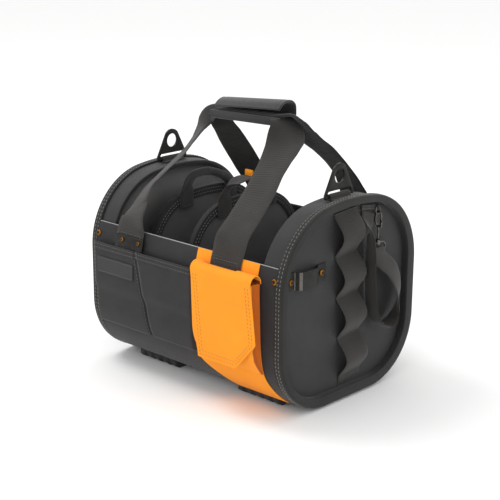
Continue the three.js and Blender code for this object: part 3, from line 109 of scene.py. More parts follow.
def spline(points, places, closed=False):
    """Centripetal Catmull-Rom curve through points, at places counted in points."""
    p = np.asarray(points, float)
    if closed:
        p = np.vstack([p[-1], p, p[0], p[1]])
    else:
        p = np.vstack([2 * p[0] - p[1], p, 2 * p[-1] - p[-2]])
    places = np.asarray(places, float)
    seg = np.clip(np.floor(places).astype(int), 0, len(p) - 4)
    t = (places - seg)[:, None]
    a, b, c, d = p[seg], p[seg + 1], p[seg + 2], p[seg + 3]
    root = lambda u, v: np.maximum(np.sqrt(np.linalg.norm(u - v, axis=1, keepdims=True)), 1e-3)
    ta, tb, tc = root(a, b), root(b, c), root(c, d)
    m0 = ((b - a) / ta - (c - a) / (ta + tb) + (c - b) / tb) * tb
    m1 = ((c - b) / tb - (d - b) / (tb + tc) + (d - c) / tc) * tb
    return b + m0 * t + (3 * (c - b) - 2 * m0 - m1) * t**2 + (2 * (b - c) + m0 + m1) * t**3


def lengths_along(points):
    return np.concatenate([[0], np.cumsum(np.linalg.norm(np.diff(points, axis=0), axis=1))])


def even_places(points, step, closed=False):
    """Places along a point row that give steps of about the same length."""
    count = len(points) if closed else len(points) - 1
    fine = np.linspace(0, count, count * 24 + 1)
    length = lengths_along(spline(points, fine, closed))
    steps = max(int(round(length[-1] / step)), 2)
    return np.interp(np.linspace(0, length[-1], steps + 1), length, fine)


def waves(x, z, seed):
    """Soft undulation between about -1 and 1, the same on every run."""
    x, z = np.asarray(x, float), np.asarray(z, float)
    total = 0
    for i in range(4):
        angle = seed * 1.7 + i * 2.1
        size = 46 - 9 * i
        total = total + np.sin((x * math.cos(angle) + z * math.sin(angle)) / size * 2 + seed * 3 + i) / (1.4 + i)
    return total / 1.9


# Meshes


def make_piece(name, points, faces, uvs, finish, nodes=(), body="bag", sharp=40, edge=None, part_of=None):
    """One mesh object on a body. finish is (material, record slot), and the slot is not used; edge is (second material,
    face numbers).
    """
    mesh = bpy.data.meshes.new(name)
    mesh.from_pydata(place(points).tolist(), [], [tuple(int(i) for i in f) for f in faces])
    layer = mesh.uv_layers.new(name="UVMap")
    layer.data.foreach_set("uv", np.asarray([c for face in uvs for c in face], float).ravel() * MM)
    material, slot = finish
    mesh.materials.append(material)
    if edge is not None:
        mesh.materials.append(edge[0])
        index = np.zeros(len(mesh.polygons), int)
        index[list(edge[1])] = 1
        mesh.polygons.foreach_set("material_index", index)
    mesh.shade_smooth()
    mesh.set_sharp_from_angle(angle=math.radians(sharp))
    mesh.validate()
    piece = bpy.data.objects.new(name, mesh)
    bpy.context.scene.collection.objects.link(piece)
    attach(piece, body)
    if nodes:
        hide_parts(*nodes)
    return piece


def hung_tape(piece, rows):
    """Works out the centre curve and widths of a length of webbing from the rows that it was made from; nothing more is
    done with them.
    """
    centres = np.array([row["centre"] for row in rows], float)
    curve = spline(centres, even_places(centres, 1.0))
    steps = np.linalg.norm(np.diff(curve, axis=0), axis=1)
    at = np.linspace(0, len(rows) - 1, len(steps))
    widths = np.interp(at, range(len(rows)), [row["width"] for row in rows])


def loft(sections, closed=False):
    """Quads round a row of sections, with ends filled unless the row is closed, and uv in millimetres."""
    s = np.asarray(sections, float)
    rows, count = s.shape[:2]
    ring = np.concatenate([s, s[:, :1]], axis=1)
    u = np.concatenate([[0], np.cumsum(np.linalg.norm(np.diff(ring, axis=1), axis=2).mean(0))])
    spine = s.mean(1)
    if closed:
        spine = np.vstack([spine, spine[:1]])
    v = lengths_along(spine)
    faces, uvs = [], []
    for r in range(rows if closed else rows - 1):
        n = (r + 1) % rows
        for i in range(count):
            j = (i + 1) % count
            faces.append((r * count + i, r * count + j, n * count + j, n * count + i))
            uvs.append([(u[i], v[r]), (u[i + 1], v[r]), (u[i + 1], v[r + 1]), (u[i], v[r + 1])])
    if not closed:
        for r, order in ((0, range(count - 1, -1, -1)), (rows - 1, range(count))):
            faces.append([r * count + i for i in order])
            uvs.append([(u[i], v[r]) for i in order])
    return outward(s.reshape(-1, 3), faces, uvs)


def outward(points, faces, uvs):
    """The same faces, turned over if they enclose a negative volume."""
    volume = 0.0
    for f in faces:
        for k in range(1, len(f) - 1):
            volume += np.dot(points[f[0]], np.cross(points[f[k]], points[f[k + 1]]))
    if volume < 0:
        faces = [tuple(reversed(f)) for f in faces]
        uvs = [list(reversed(c)) for c in uvs]
    return points, faces, uvs


def surface_normals(grid):
    """Normals of a grid of points, by rows and columns."""
    down, across = np.gradient(grid, axis=0), np.gradient(grid, axis=1)
    return unit(np.cross(across, down))


def cloth(front, thickness, flip=1, extra=None):
    """A sheet with rounded edges behind a grid of front points. extra thickens it to the front, by grid."""
    front = np.asarray(front, float)
    normal = surface_normals(front) * flip
    back = front - normal * thickness
    if extra is not None:
        front = front + normal * np.asarray(extra)[..., None]
    rows, columns = front.shape[:2]
    middle = (front + back) / 2
    border = [(0, c) for c in range(columns - 1)] + [(r, columns - 1) for r in range(rows - 1)]
    border += [(rows - 1, c) for c in range(columns - 1, 0, -1)] + [(r, 0) for r in range(rows - 1, 0, -1)]
    centre = middle.mean((0, 1))
    rim = []
    for r, c in border:
        inward = np.zeros(3)
        if r in (0, rows - 1):
            inward += unit(middle[1 if r == 0 else rows - 2, c] - middle[r, c])
        if c in (0, columns - 1):
            inward += unit(middle[r, 1 if c == 0 else columns - 2] - middle[r, c])
        rim.append(middle[r, c] - unit(inward) * thickness * 0.4)
    points = np.vstack([front.reshape(-1, 3), back.reshape(-1, 3), rim])
    u = np.zeros((rows, columns))
    v = np.zeros((rows, columns))
    u[:, 1:] = np.cumsum(np.linalg.norm(np.diff(middle, axis=1), axis=2), axis=1)
    v[1:] = np.cumsum(np.linalg.norm(np.diff(middle, axis=0), axis=2), axis=0)
    u -= u[:, columns // 2][:, None]
    size = rows * columns
    faces, uvs = [], []
    for r in range(rows - 1):
        for c in range(columns - 1):
            quad = [(r, c), (r, c + 1), (r + 1, c + 1), (r + 1, c)]
            corners = [(u[q], v[q]) for q in quad]
            faces.append([q[0] * columns + q[1] for q in quad])
            uvs.append(corners)
            faces.append([size + q[0] * columns + q[1] for q in reversed(quad)])
            uvs.append(list(reversed(corners)))
    for i, a in enumerate(border):
        b = border[(i + 1) % len(border)]
        ia, ib = a[0] * columns + a[1], b[0] * columns + b[1]
        ra, rb = 2 * size + i, 2 * size + (i + 1) % len(border)
        faces.append([ib, ia, ra, rb])
        uvs.append([(u[b], v[b]), (u[a], v[a]), (u[a], v[a] - thickness / 2), (u[b], v[b] - thickness / 2)])
        faces.append([rb, ra, size + ia, size + ib])
        uvs.append([(u[b], v[b] - thickness / 2), (u[a], v[a] - thickness / 2), (u[a], v[a]), (u[b], v[b])])
    return outward(points, faces, uvs)


def round_section(corners, steps=3):
    """A closed section of (a, b, radius) corners with each corner rounded."""
    flat = [np.array(c[:2], float) for c in corners]
    out = []
    for i, corner in enumerate(corners):
        here, before, after = flat[i], flat[i - 1], flat[(i + 1) % len(flat)]
        radius = corner[2]
        if radius <= 0:
            out.append(here)
            continue
        start = here + unit(before - here) * min(radius, np.linalg.norm(before - here) / 2)
        end = here + unit(after - here) * min(radius, np.linalg.norm(after - here) / 2)
        for k in range(steps + 1):
            t = k / steps
            out.append((1 - t) ** 2 * start + 2 * t * (1 - t) * here + t**2 * end)
    return np.array(out)


def ribbon(rows, steps_mm=0.6, rib=0.13, pitch=2.3, fold=0.0):
    """A woven band through rows of centre, turn, width, thickness and shear, ribbed across."""
    centres = np.array([r["centre"] for r in rows], float)
    numbers = np.array([[r["width"], r["thickness"], r.get("shear", 0)] for r in rows])
    angles = np.radians([[r["turn"], r.get("tip", 0)] for r in rows])
    turn, tip = angles.T
    vectors = np.stack([np.cos(turn) * np.cos(tip), np.sin(turn) * np.cos(tip), np.sin(tip)], axis=1)
    places = even_places(centres, steps_mm)
    centre = spline(centres, places)
    value = [np.interp(places, range(len(rows)), column) for column in np.hstack([numbers, vectors]).T]
    soften = max(int(6 / steps_mm), 1)
    kernel = np.hanning(2 * soften + 3)[1:-1]
    kernel /= kernel.sum()
    half = len(kernel) // 2
    value = [np.convolve(np.pad(column, half, mode="edge"), kernel, mode="valid") for column in value]
    width, thickness, shear = value[:3]
    across = unit(np.stack(value[3:], axis=1))
    along = unit(np.gradient(centre, axis=0))
    side = unit(across - along * (np.sum(across * along, axis=1) * (1 - shear))[:, None])
    normal = unit(np.cross(along, side))
    length = lengths_along(centre)
    bump = rib * (0.5 - 0.5 * np.cos(length / pitch * 2 * math.pi))
    spots = [-1, -0.92, -0.72, -0.4, 0, 0.4, 0.72, 0.92, 1]
    lift = [0, 0.8, 1, 1, 1, 1, 1, 0.8, 0]
    sections = []
    for sign in (1, -1):
        for a, b in zip(spots[:: sign], lift):
            level = sign * b * (thickness / 2 - rib + bump * (1 if abs(a) < 0.9 else 0.4))
            if b == 0 and sign < 0:
                continue
            sections.append(centre + side * (a * width / 2)[:, None] + normal * level[:, None])
    return loft(np.stack(sections, axis=1))


def wire(route, radius, sides=12, step=0.8, closed=False):
    """A round wire along a row of points."""
    places = even_places(route, step, closed)
    centre = spline(route, places, closed)
    if closed:
        centre = centre[:-1]
    along = unit(np.roll(centre, -1, 0) - np.roll(centre, 1, 0)) if closed else unit(np.gradient(centre, axis=0))
    normal = np.zeros_like(centre)
    guess = np.array([0.0, 0.0, 1.0]) if abs(along[0][2]) < 0.8 else np.array([0.0, 1.0, 0.0])
    for i, t in enumerate(along):
        guess = unit(guess - t * np.dot(guess, t))
        normal[i] = guess
    second = np.cross(along, normal)
    angles = np.arange(sides) / sides * 2 * math.pi
    sections = [centre + (normal * math.cos(a) + second * math.sin(a)) * radius for a in angles]
    return loft(np.stack(sections, axis=1), closed)


def turned(profile, point, axis, sides=28):
    """A turned shape from (radius, height) pairs that start and end on the axis."""
    axis = unit(axis)
    helper = np.array([0.0, 0.0, 1.0]) if abs(axis[2]) < 0.8 else np.array([1.0, 0.0, 0.0])
    u = unit(np.cross(helper, axis))
    v = np.cross(axis, u)
    rings = []
    for i in range(sides):
        a = i / sides * 2 * math.pi
        rings.append([point + (u * math.cos(a) + v * math.sin(a)) * r + axis * h for r, h in profile[1:-1]])
    rings = np.array(rings)
    sides, count = rings.shape[:2]
    points = np.vstack([rings.reshape(-1, 3), [point + axis * profile[0][1]], [point + axis * profile[-1][1]]])
    faces, uvs = [], []
    for i in range(sides):
        n = (i + 1) % sides
        for k in range(count - 1):
            faces.append((i * count + k, n * count + k, n * count + k + 1, i * count + k + 1))
            uvs.append([(i, k), (i + 1, k), (i + 1, k + 1), (i, k + 1)])
        faces.append((sides * count, n * count, i * count))
        uvs.append([(i, 0), (i, 0), (i, 0)])
        faces.append((sides * count + 1, i * count + count - 1, n * count + count - 1))
        uvs.append([(i, 0), (i, 0), (i, 0)])
    return outward(points, faces, uvs)


def merged(*shapes):
    """Several closed shapes in one mesh."""
    points, faces, uvs, start = [], [], [], 0
    for p, f, c in shapes:
        points.append(p)
        faces += [[i + start for i in face] for face in f]
        uvs += c
        start += len(p)
    return np.vstack(points), faces, uvs


# Stitches are low tapered bumps along a row

STITCH_LENGTH = 2.5
STITCH_GAP = 0.9
STITCH_WIDTH = 0.62
STITCH_HEIGHT = 0.34


def stitch_row(points, normals, length=STITCH_LENGTH, gap=STITCH_GAP, width=STITCH_WIDTH, height=STITCH_HEIGHT):
    """Places of the stitches along a row of points: centre, along, normal, half sizes."""
    points = np.asarray(points, float)
    normals = unit(np.broadcast_to(np.asarray(normals, float), points.shape))
    distance = lengths_along(points)
    count = max(int(distance[-1] / (length + gap)), 1)
    places = (np.arange(count) + 0.5) * distance[-1] / count
    at = lambda data, where: np.stack([np.interp(where, distance, data[:, k]) for k in range(3)], axis=1)
    centre, normal = at(points, places), unit(at(normals, places))
    along = unit(at(points, places + length / 2) - at(points, places - length / 2))
    return [(c, a, n, length / 2, width / 2, height) for c, a, n in zip(centre, along, normal)]


def add_stitches(name, rows, finish, body="bag"):
    points, faces, uvs = [], [], []
    shape = [(1, 0, -0.3), (0.55, 1, -0.3), (-0.55, 1, -0.3), (-1, 0, -0.3), (-0.55, -1, -0.3), (0.55, -1, -0.3)]
    shape += [(0.5, 0, 1), (-0.5, 0, 1)]
    sides = [(0, 1, 6), (1, 2, 7, 6), (2, 3, 7), (3, 4, 7), (4, 5, 6, 7), (5, 0, 6), (5, 4, 3, 2, 1, 0)]
    for row in rows:
        for centre, along, normal, half, wide, high in row:
            side = unit(np.cross(normal, along))
            start = len(points)
            for a, b, h in shape:
                points.append(centre + along * a * half + side * b * wide + normal * h * high)
            for f in sides:
                faces.append([start + i for i in f])
                uvs.append([(shape[i][0] * half, shape[i][1] * wide) for i in f])
    return make_piece(name, np.array(points), faces, uvs, finish, body=body, sharp=80)


# Materials


def new_material(name, roughness=0.8, metallic=0.0, sheen=0.0, coat=0.0, specular=0.5):
    """A material and its node tree, shader and helpers. Constant values sit on the shader's own sockets."""
    material = bpy.data.materials.new(name)
    material.use_nodes = True
    tree = material.node_tree
    shader = tree.nodes["Principled BSDF"]
    shader.inputs["Roughness"].default_value = roughness
    shader.inputs["Metallic"].default_value = metallic
    shader.inputs["Sheen Weight"].default_value = sheen
    shader.inputs["Sheen Roughness"].default_value = 0.45
    shader.inputs["Coat Weight"].default_value = coat
    shader.inputs["Specular IOR Level"].default_value = specular
    return material, tree, shader


def math_node(tree, operation, a, b=None):
    node = tree.nodes.new("ShaderNodeMath")
    node.operation = operation
    for socket, value in zip(node.inputs, (a, b)):
        if value is None:
            continue
        if isinstance(value, (int, float)):
            socket.default_value = value
        else:
            tree.links.new(value, socket)
    return node.outputs[0]


def noise(tree, scale, detail=3.0, source="Object"):
    coordinates = tree.nodes.new("ShaderNodeTexCoord")
    node = tree.nodes.new("ShaderNodeTexNoise")
    node.inputs["Scale"].default_value = scale
    node.inputs["Detail"].default_value = detail
    tree.links.new(coordinates.outputs[source], node.inputs["Vector"])
    return node.outputs["Fac"]


def ramp(tree, factor, low, high, colours):
    node = tree.nodes.new("ShaderNodeValToRGB")
    node.color_ramp.elements[0].position = low
    node.color_ramp.elements[1].position = high
    for element, colour in zip(node.color_ramp.elements, colours):
        element.color = (*colour, 1)
    tree.links.new(factor, node.inputs["Fac"])
    return node.outputs["Color"]


def uv_axes(tree):
    coordinates = tree.nodes.new("ShaderNodeTexCoord")
    separate = tree.nodes.new("ShaderNodeSeparateXYZ")
    tree.links.new(coordinates.outputs["UV"], separate.inputs[0])
    return separate.outputs[0], separate.outputs[1]


def sine(tree, axis, pitch_mm):
    return math_node(tree, "SINE", math_node(tree, "MULTIPLY", axis, 2 * math.pi / (pitch_mm * MM)))


def bump(tree, shader, height, strength, distance_mm):
    node = tree.nodes.new("ShaderNodeBump")
    node.inputs["Strength"].default_value = strength
    node.inputs["Distance"].default_value = distance_mm * MM
    tree.links.new(height, node.inputs["Height"])
    tree.links.new(node.outputs[0], shader.inputs["Normal"])


def linear(hex_colour):
    """A screen colour such as 3a3a3b as linear light."""
    value = [int(hex_colour[i : i + 2], 16) / 255 for i in (0, 2, 4)]
    return tuple(v / 12.92 if v <= 0.04045 else ((v + 0.055) / 1.055) ** 2.4 for v in value)


def shade(colour, factor):
    return tuple(min(c * factor, 1) for c in colour)


def woven(name, colour, pitch=1.1, strength=0.5, roughness=0.8, sheen=0.15, ribs=None, variation=0.22, specular=0.35):
    """Cloth: a weave of two thread directions, or ribs across, with blotches and thread-sized speckle."""
    material, tree, shader = new_material(name, roughness=roughness, sheen=sheen, specular=specular)
    u, v = uv_axes(tree)
    if ribs is None:
        weave = math_node(tree, "MULTIPLY", sine(tree, u, pitch), sine(tree, v, pitch))
    else:
        weave = math_node(tree, "ADD", sine(tree, v, ribs), math_node(tree, "MULTIPLY", sine(tree, u, ribs * 0.8), 0.35))
    speckle = noise(tree, 1400.0, 1.0)
    height = math_node(tree, "ADD", weave, math_node(tree, "MULTIPLY", speckle, 0.8))
    bump(tree, shader, height, strength, 0.12)
    blotch = math_node(tree, "MULTIPLY", noise(tree, 22.0, 4.0), 0.7)
    fine = math_node(tree, "MULTIPLY", speckle, 0.3)
    tone = math_node(tree, "ADD", blotch, fine)
    colours = (shade(colour, 1 - variation), shade(colour, 1 + variation))
    tree.links.new(ramp(tree, tone, 0.3, 0.7, colours), shader.inputs["Base Color"])
    rough = math_node(tree, "ADD", math_node(tree, "MULTIPLY", noise(tree, 60.0, 3.0), 0.2), roughness - 0.1)
    tree.links.new(rough, shader.inputs["Roughness"])
    return material


def metal(name, colour, worn, roughness=0.35, metallic=1.0, coat=0.0):
    """Metal with fine scratches and patches where the finish has rubbed."""
    material, tree, shader = new_material(name, roughness=roughness, metallic=metallic, coat=coat)
    patches = noise(tree, 160.0, 5.0)
    tree.links.new(ramp(tree, patches, 0.45, 0.72, (colour, worn)), shader.inputs["Base Color"])
    rough = math_node(tree, "ADD", math_node(tree, "MULTIPLY", noise(tree, 420.0, 2.0), 0.25), roughness - 0.12)
    tree.links.new(rough, shader.inputs["Roughness"])
    bump(tree, shader, noise(tree, 700.0, 2.0), 0.15, 0.05)
    return material


def thread(name, colour):
    material, tree, shader = new_material(name, roughness=0.55, sheen=0.3)
    u, v = uv_axes(tree)
    twist = sine(tree, math_node(tree, "ADD", u, v), 0.5)
    bump(tree, shader, twist, 0.4, 0.08)
    tone = noise(tree, 500.0, 2.0)
    colours = (shade(colour, 0.75), shade(colour, 1.2))
    tree.links.new(ramp(tree, tone, 0.3, 0.7, colours), shader.inputs["Base Color"])
    return material


def rubber(name, colour):
    material, tree, shader = new_material(name, roughness=0.7, specular=0.4)
    grain = noise(tree, 900.0, 3.0)
    bump(tree, shader, grain, 0.3, 0.1)
    colours = (shade(colour, 0.8), shade(colour, 1.5))
    tree.links.new(ramp(tree, noise(tree, 45.0, 4.0), 0.35, 0.7, colours), shader.inputs["Base Color"])
    return material


SHELL = (woven("shell_cloth", linear("222122"), pitch=1.1), "shell_fabric")
PADDED = (woven("padded_cloth", linear("232324"), pitch=0.9, sheen=0.2, roughness=0.65), "padded_fabric")
# Lighter copy of the padded cloth: painted light on the inner faces of the end panels
LINING = (woven("lining_painted_light", linear("5a5958"), pitch=0.9, sheen=0.5, roughness=0.6), "padded_fabric")
# Padded cloth made lighter as painted light, for the divider pads that sit in the bag's shade
DIVIDER = (woven("divider_cloth_painted_light", linear("484749"), pitch=0.9, sheen=0.35, roughness=0.6), "padded_fabric")
WRAP = (woven("wrap_cloth", linear("2a282a"), pitch=1.2, sheen=0.3), "padded_fabric")
BINDING = (woven("binding_tape", linear("201f1e"), ribs=1.2), "binding_tape")
WEBBING = (woven("webbing", linear("2d2b29"), ribs=2.7, strength=0.7, sheen=0.15), "webbing")
ORANGE = (woven("orange_cloth", linear("f29418"), pitch=1.0, strength=0.35, variation=0.05, sheen=0.03), "orange_fabric")
PATCH = (woven("patch_cloth", linear("232223"), pitch=0.7, strength=0.3, roughness=0.6), "patch")
BLACK_METAL = (metal("black_metal", linear("191816"), linear("25231f"), 0.36, 0.6), "black_metal")
NICKEL = (metal("nickel", linear("66635e"), linear("3c3a36"), 0.28), "nickel")
COPPER = (metal("copper", linear("8f5f22"), linear("5e3f1c"), 0.3), "copper")
RUBBER = (rubber("rubber", linear("2a2a2b")), "rubber")
# Pale grey painted highlight for the walls' top edge at the rim
RIM_HIGHLIGHT = woven("rim_painted_highlight", linear("9a9a9a"), pitch=0.8, variation=0.12)
DARK_THREAD = (thread("dark_thread", linear("57554c")), "shell_fabric")
LIGHT_THREAD = (thread("light_thread", linear("7f7d76")), "binding_tape")
# Deeper orange: painted shade on the pouch's gusset folds
ORANGE_GUSSET_SHADE = woven("orange_gusset_painted_shade", linear("c4600a"), pitch=1.0, strength=0.35, variation=0.08)
# Dark orange: painted shade inside the flap's rolled fold
ORANGE_ROLL_SHADE = woven("orange_roll_painted_shade", linear("7a3206"), pitch=1.0, strength=0.35, variation=0.08)
ORANGE_THREAD = (thread("orange_thread", linear("b5620c")), "orange_fabric")


# The end outline and the walls

LOWER_CENTRE = (WIDTH / 2 - LOWER_RADIUS, FLOOR + LOWER_RADIUS)
upper_y = WIDTH / 2 - UPPER_RADIUS
CROWN_ANGLE = math.asin(upper_y / (CROWN_RADIUS - UPPER_RADIUS))
crown_rise = (CROWN_RADIUS - UPPER_RADIUS) * (1 - math.cos(CROWN_ANGLE))
UPPER_CENTRE = (upper_y, END_TOP - crown_rise - UPPER_RADIUS)
RIM_ANGLE = math.asin((RIM - UPPER_CENTRE[1]) / UPPER_RADIUS)


def arc(centre, radius, start, end, step):
    count = max(int(abs(end - start) * radius / step), 2)
    angles = np.linspace(start, end, count + 1)
    n = np.stack([np.cos(angles), np.sin(angles)], axis=1)
    return np.hstack([np.array(centre) + radius * n, n])


def straight(a, b, normal, step):
    count = max(int(math.hypot(b[0] - a[0], b[1] - a[1]) / step), 1)
    t = np.linspace(0, 1, count + 1)[1:-1, None]
    line = np.array(a) * (1 - t) + np.array(b) * t
    return np.hstack([line, np.broadcast_to(normal, line.shape)])


def half_outline(step=4.0, top=None):
    """Rows of y, z and normal from the middle of the floor up the back side to the crown, or to the rim."""
    low = arc(LOWER_CENTRE, LOWER_RADIUS, -math.pi / 2, 0, step)
    floor = straight((0, FLOOR), low[0][:2], (0, -1), step)
    floor = np.vstack([[0, FLOOR, 0, -1], floor])
    side = straight((WIDTH / 2, LOWER_CENTRE[1]), (WIDTH / 2, UPPER_CENTRE[1]), (1, 0), step)
    if top == "rim":
        upper = arc(UPPER_CENTRE, UPPER_RADIUS, 0, RIM_ANGLE, step)
        return np.vstack([floor, low, side, upper])
    upper = arc(UPPER_CENTRE, UPPER_RADIUS, 0, math.pi / 2 - CROWN_ANGLE, step)
    crown = arc((0, END_TOP - CROWN_RADIUS), CROWN_RADIUS, math.pi / 2 - CROWN_ANGLE, math.pi / 2, step)
    return np.vstack([floor, low, side, upper, crown[1:]])


def mirror(outline):
    return outline * np.array([-1, 1, -1, 1])


def full_outline(step=4.0):
    """The closed outline, from the floor up the back, over the crown and down the front."""
    half = half_outline(step)
    return np.vstack([half, mirror(half)[1:-1][::-1]])


def inset(x, outline, depth):
    """Points a depth in from the outline at a place along X; negative goes outward."""
    outline = np.asarray(outline)
    x = np.broadcast_to(x, outline.shape[:-1])
    y = outline[..., 0] - outline[..., 2] * depth
    z = outline[..., 1] - outline[..., 3] * depth
    return np.stack([x, y, z], axis=-1)


def wall_at(z):
    """The front wall's y and outward normal (ny, nz) at heights z."""
    z = np.asarray(z, float)
    low = np.clip((z - LOWER_CENTRE[1]) / LOWER_RADIUS, -1, 0)
    high = np.clip((z - UPPER_CENTRE[1]) / UPPER_RADIUS, 0, 1)
    nz = low + high
    ny = -np.sqrt(1 - nz**2)
    radius = np.where(nz < 0, LOWER_RADIUS, UPPER_RADIUS)
    return -WIDTH / 2 + radius * (1 + ny), ny, nz


def on_front(x, z, out=0.0):
    """Points on the front wall, or out from it along its normal."""
    x, z, out = np.broadcast_arrays(np.asarray(x, float), np.asarray(z, float), np.asarray(out, float))
    y, ny, nz = wall_at(z)
    return np.stack([x, y + ny * out, z + nz * out], axis=-1)


def front_normal(z):
    _, ny, nz = wall_at(z)
    return np.stack([np.zeros_like(ny), ny, nz], axis=-1)


def build_body():
    half = BINDING_X - GAP
    back = half_outline(5.0, "rim")
    path = np.vstack([mirror(back)[1:][::-1], back])
    xs = np.linspace(-half, half, 97)
    sections = []
    for p in path:
        row = np.broadcast_to(p, (len(xs), 4))
        calm = smooth(half - abs(xs), 0, 40)
        amount = 0.9 if p[0] > 0 else 0.25
        wave = amount * calm * waves(xs, p[1] + 200 * (p[0] > 0), 1.3) * smooth(p[1], 30, 80)
        outer = inset(xs, row, -wave)
        inner = inset(xs, row, WALL - wave)
        sections.append(np.vstack([outer, inner[::-1]]))
    sections = np.array(sections)
    lip = sections[[0, -1]].copy()
    lip[:, :, 2] += 0.7
    for k in range(2):
        near = sections[0 if k == 0 else -1]
        middle = (near[: len(xs)] + near[len(xs) :][::-1]) / 2
        lip[k, : len(xs), :2] = mix(near[: len(xs), :2], middle[:, :2], 0.55)
        lip[k, len(xs) :, :2] = mix(near[len(xs) :, :2], middle[::-1, :2], 0.55)
    sections = np.vstack([lip[:1], sections, lip[1:]])
    points, faces, uvs = loft(sections)
    levels = points[:, 2]
    # The wall's top faces get the pale painted highlight
    painted_highlight_faces = [i for i, face in enumerate(faces) if min(levels[k] for k in face) > RIM - 0.25]
    piece = make_piece("body_wall", points, faces, uvs, SHELL, ["body_shell"], edge=(RIM_HIGHLIGHT, painted_highlight_faces))


def build_rim_strips():
    half = END_X - HOOP_DEPTH - GAP
    xs = np.linspace(-half, half, 40)
    for word, sign in (("front", 1), ("back", -1)):
        zs = np.linspace(RIM - 9.6, RIM + 0.9, 8)
        front = on_front(xs[None, :], zs[:, None], -WALL - GAP)
        front[-1] = on_front(xs, np.full_like(xs, RIM + 0.6), -WALL - GAP + 0.3)
        front[..., 1] *= sign
        shape = cloth(front, 1.2, flip=sign)
        make_piece(f"rim_tape_{word}", *shape, BINDING, [f"rim_strip_{word}"])


def build_ends():
    outline = full_outline(3.2)
    lip_x = END_X - BINDING_THICKNESS
    deep = HOOP_IN + GAP + BINDING_THICKNESS
    binding = round_section([
        (BINDING_X, 0, 0.8), (END_X, 0, 2.6), (END_X, deep, 2.2), (FACE_X + GAP, deep, 0.6),
        (FACE_X + GAP, HOOP_IN + GAP, 0), (lip_x, HOOP_IN + GAP, 0), (lip_x, WALL, 0), (BINDING_X, WALL, 0),
    ])
    hoop = round_section([
        (END_X - HOOP_DEPTH, HOOP_OUT, 1.5), (lip_x - GAP, HOOP_OUT, 0.5), (lip_x - GAP, HOOP_IN, 0.5),
        (END_X - HOOP_DEPTH + 12, HOOP_IN, 1), (END_X - HOOP_DEPTH + 9.5, HOOP_IN - 0.9, 1),
        (END_X - HOOP_DEPTH + 8, HOOP_IN + 0.2, 1), (END_X - HOOP_DEPTH, HOOP_IN, 2.2),
    ])
    rings = [(HOOP_IN + GAP, -1.6), (HOOP_IN + 1.2, -0.5), (HOOP_IN + 3, -0.1), (HOOP_IN + 6, 0.0)]
    rings += [(HOOP_IN + d, 0.0) for d in (11, 18, 28, 40, 54, 68)]
    for side, word in ((-1, "left"), (1, "right")):
        for name, section, finish, node in (
            (f"end_edge_{word}", binding, BINDING, f"end_binding_{word}"),
            (f"end_ring_pad_{word}", hoop, PADDED, f"end_hoop_{word}"),
        ):
            around = np.stack([inset(side * x, outline, depth) for x, depth in section], axis=1)
            if section is binding:
                wide = np.clip(outline[:, 2] - outline[:, 3] * 0.8, -0.4, 1)[:, None] * LIP_SPREAD
                inner = np.array([depth > HOOP_IN + GAP + 0.5 for _, depth in section])
                around[..., 1] -= outline[:, 2][:, None] * wide * inner
                around[..., 2] -= outline[:, 3][:, None] * wide * inner
            piece = make_piece(name, *loft(around, closed=True), finish, [node])
        build_face(side, word, outline, rings)
        rows = []
        for x in (END_X - 9.6, END_X - 5.2):
            line = inset(side * x, np.vstack([outline, outline[:1]]), -0.05)
            normals = np.stack([np.zeros(len(line)), *np.vstack([outline, outline[:1]])[:, 2:].T], axis=1)
            rows.append(stitch_row(line, normals, length=3.4, gap=1.6, width=1.0, height=0.5))
        add_stitches(f"end_edge_stitches_{word}", rows, LIGHT_THREAD)


def ringed(layers):
    """A closed panel from loops of points that run from one middle over its edge to the other middle."""
    layers = np.array(layers)
    count = layers.shape[1]
    points = np.vstack([layers.reshape(-1, 3), [layers[0].mean(0)], [layers[-1].mean(0)]])
    faces = []
    for r in range(len(layers) - 1):
        for i in range(count):
            j = (i + 1) % count
            faces.append((r * count + i, r * count + j, (r + 1) * count + j, (r + 1) * count + i))
    last = (len(layers) - 1) * count
    for i in range(count):
        j = (i + 1) % count
        faces.append((len(points) - 2, j, i))
        faces.append((len(points) - 1, last + i, last + j))
    uvs = [[(points[k][1], points[k][2]) for k in face] for face in faces]
    return outward(points, faces, uvs)


def build_face(side, word, outline, rings):
    """A padded panel: rings in from the outline to a middle point, on both sides."""
    layers = []
    for depth, rise in rings:
        layer = inset(side * (FACE_X + rise), outline, depth)
        layer[:, 0] += side * 0.12 * waves(layer[:, 1], layer[:, 2], 2.2) * smooth(depth, 12, 40)
        layers.append(layer)
    for depth, rise in reversed(rings):
        layer = inset(side * LINING_X, outline, depth)
        puff = LINING_SWELL * float(smooth(depth, HOOP_IN, 46)) + rise * 1.5
        layer[:, 0] -= side * (puff + 0.5 * waves(layer[:, 1], layer[:, 2], 3.1) * float(smooth(depth, 12, 40)))
        layers.append(layer)
    layers = layers[len(rings) - 1 :: -1] + layers[: len(rings) - 1 : -1]
    points, faces, uvs = ringed(layers)
    # Inner faces of the panel take the lighter lining colour as painted light
    inside = [i for i, face in enumerate(faces) if side * points[list(face), 0].mean() < FACE_X - FACE_THICKNESS / 2]
    piece = make_piece(f"end_panel_{word}", points, faces, uvs, PADDED, [f"end_face_{word}"], edge=(LINING[0], inside))


# Dividers

DIVIDER_THICKNESS = 4.0
DIVIDER_INSET = 25.0
SHOULDER_LOW = 62.0
SHOULDER_HIGH = 20.0
ARCH_DEPTH = 12.0
ARCH_WALL = 1.5
DIVIDER_X = {"divider_1": -81.0, "divider_2": -12.0}
DIVIDER_HALF = DIVIDER_THICKNESS / 2 + GAP + ARCH_WALL
DIVIDER_TOP = END_TOP - DIVIDER_INSET


def divider_inset(z):
    reach = smooth(z, RIM - SHOULDER_LOW + 20, RIM - SHOULDER_HIGH + 10)
    return mix(WALL + GAP, DIVIDER_INSET, reach)


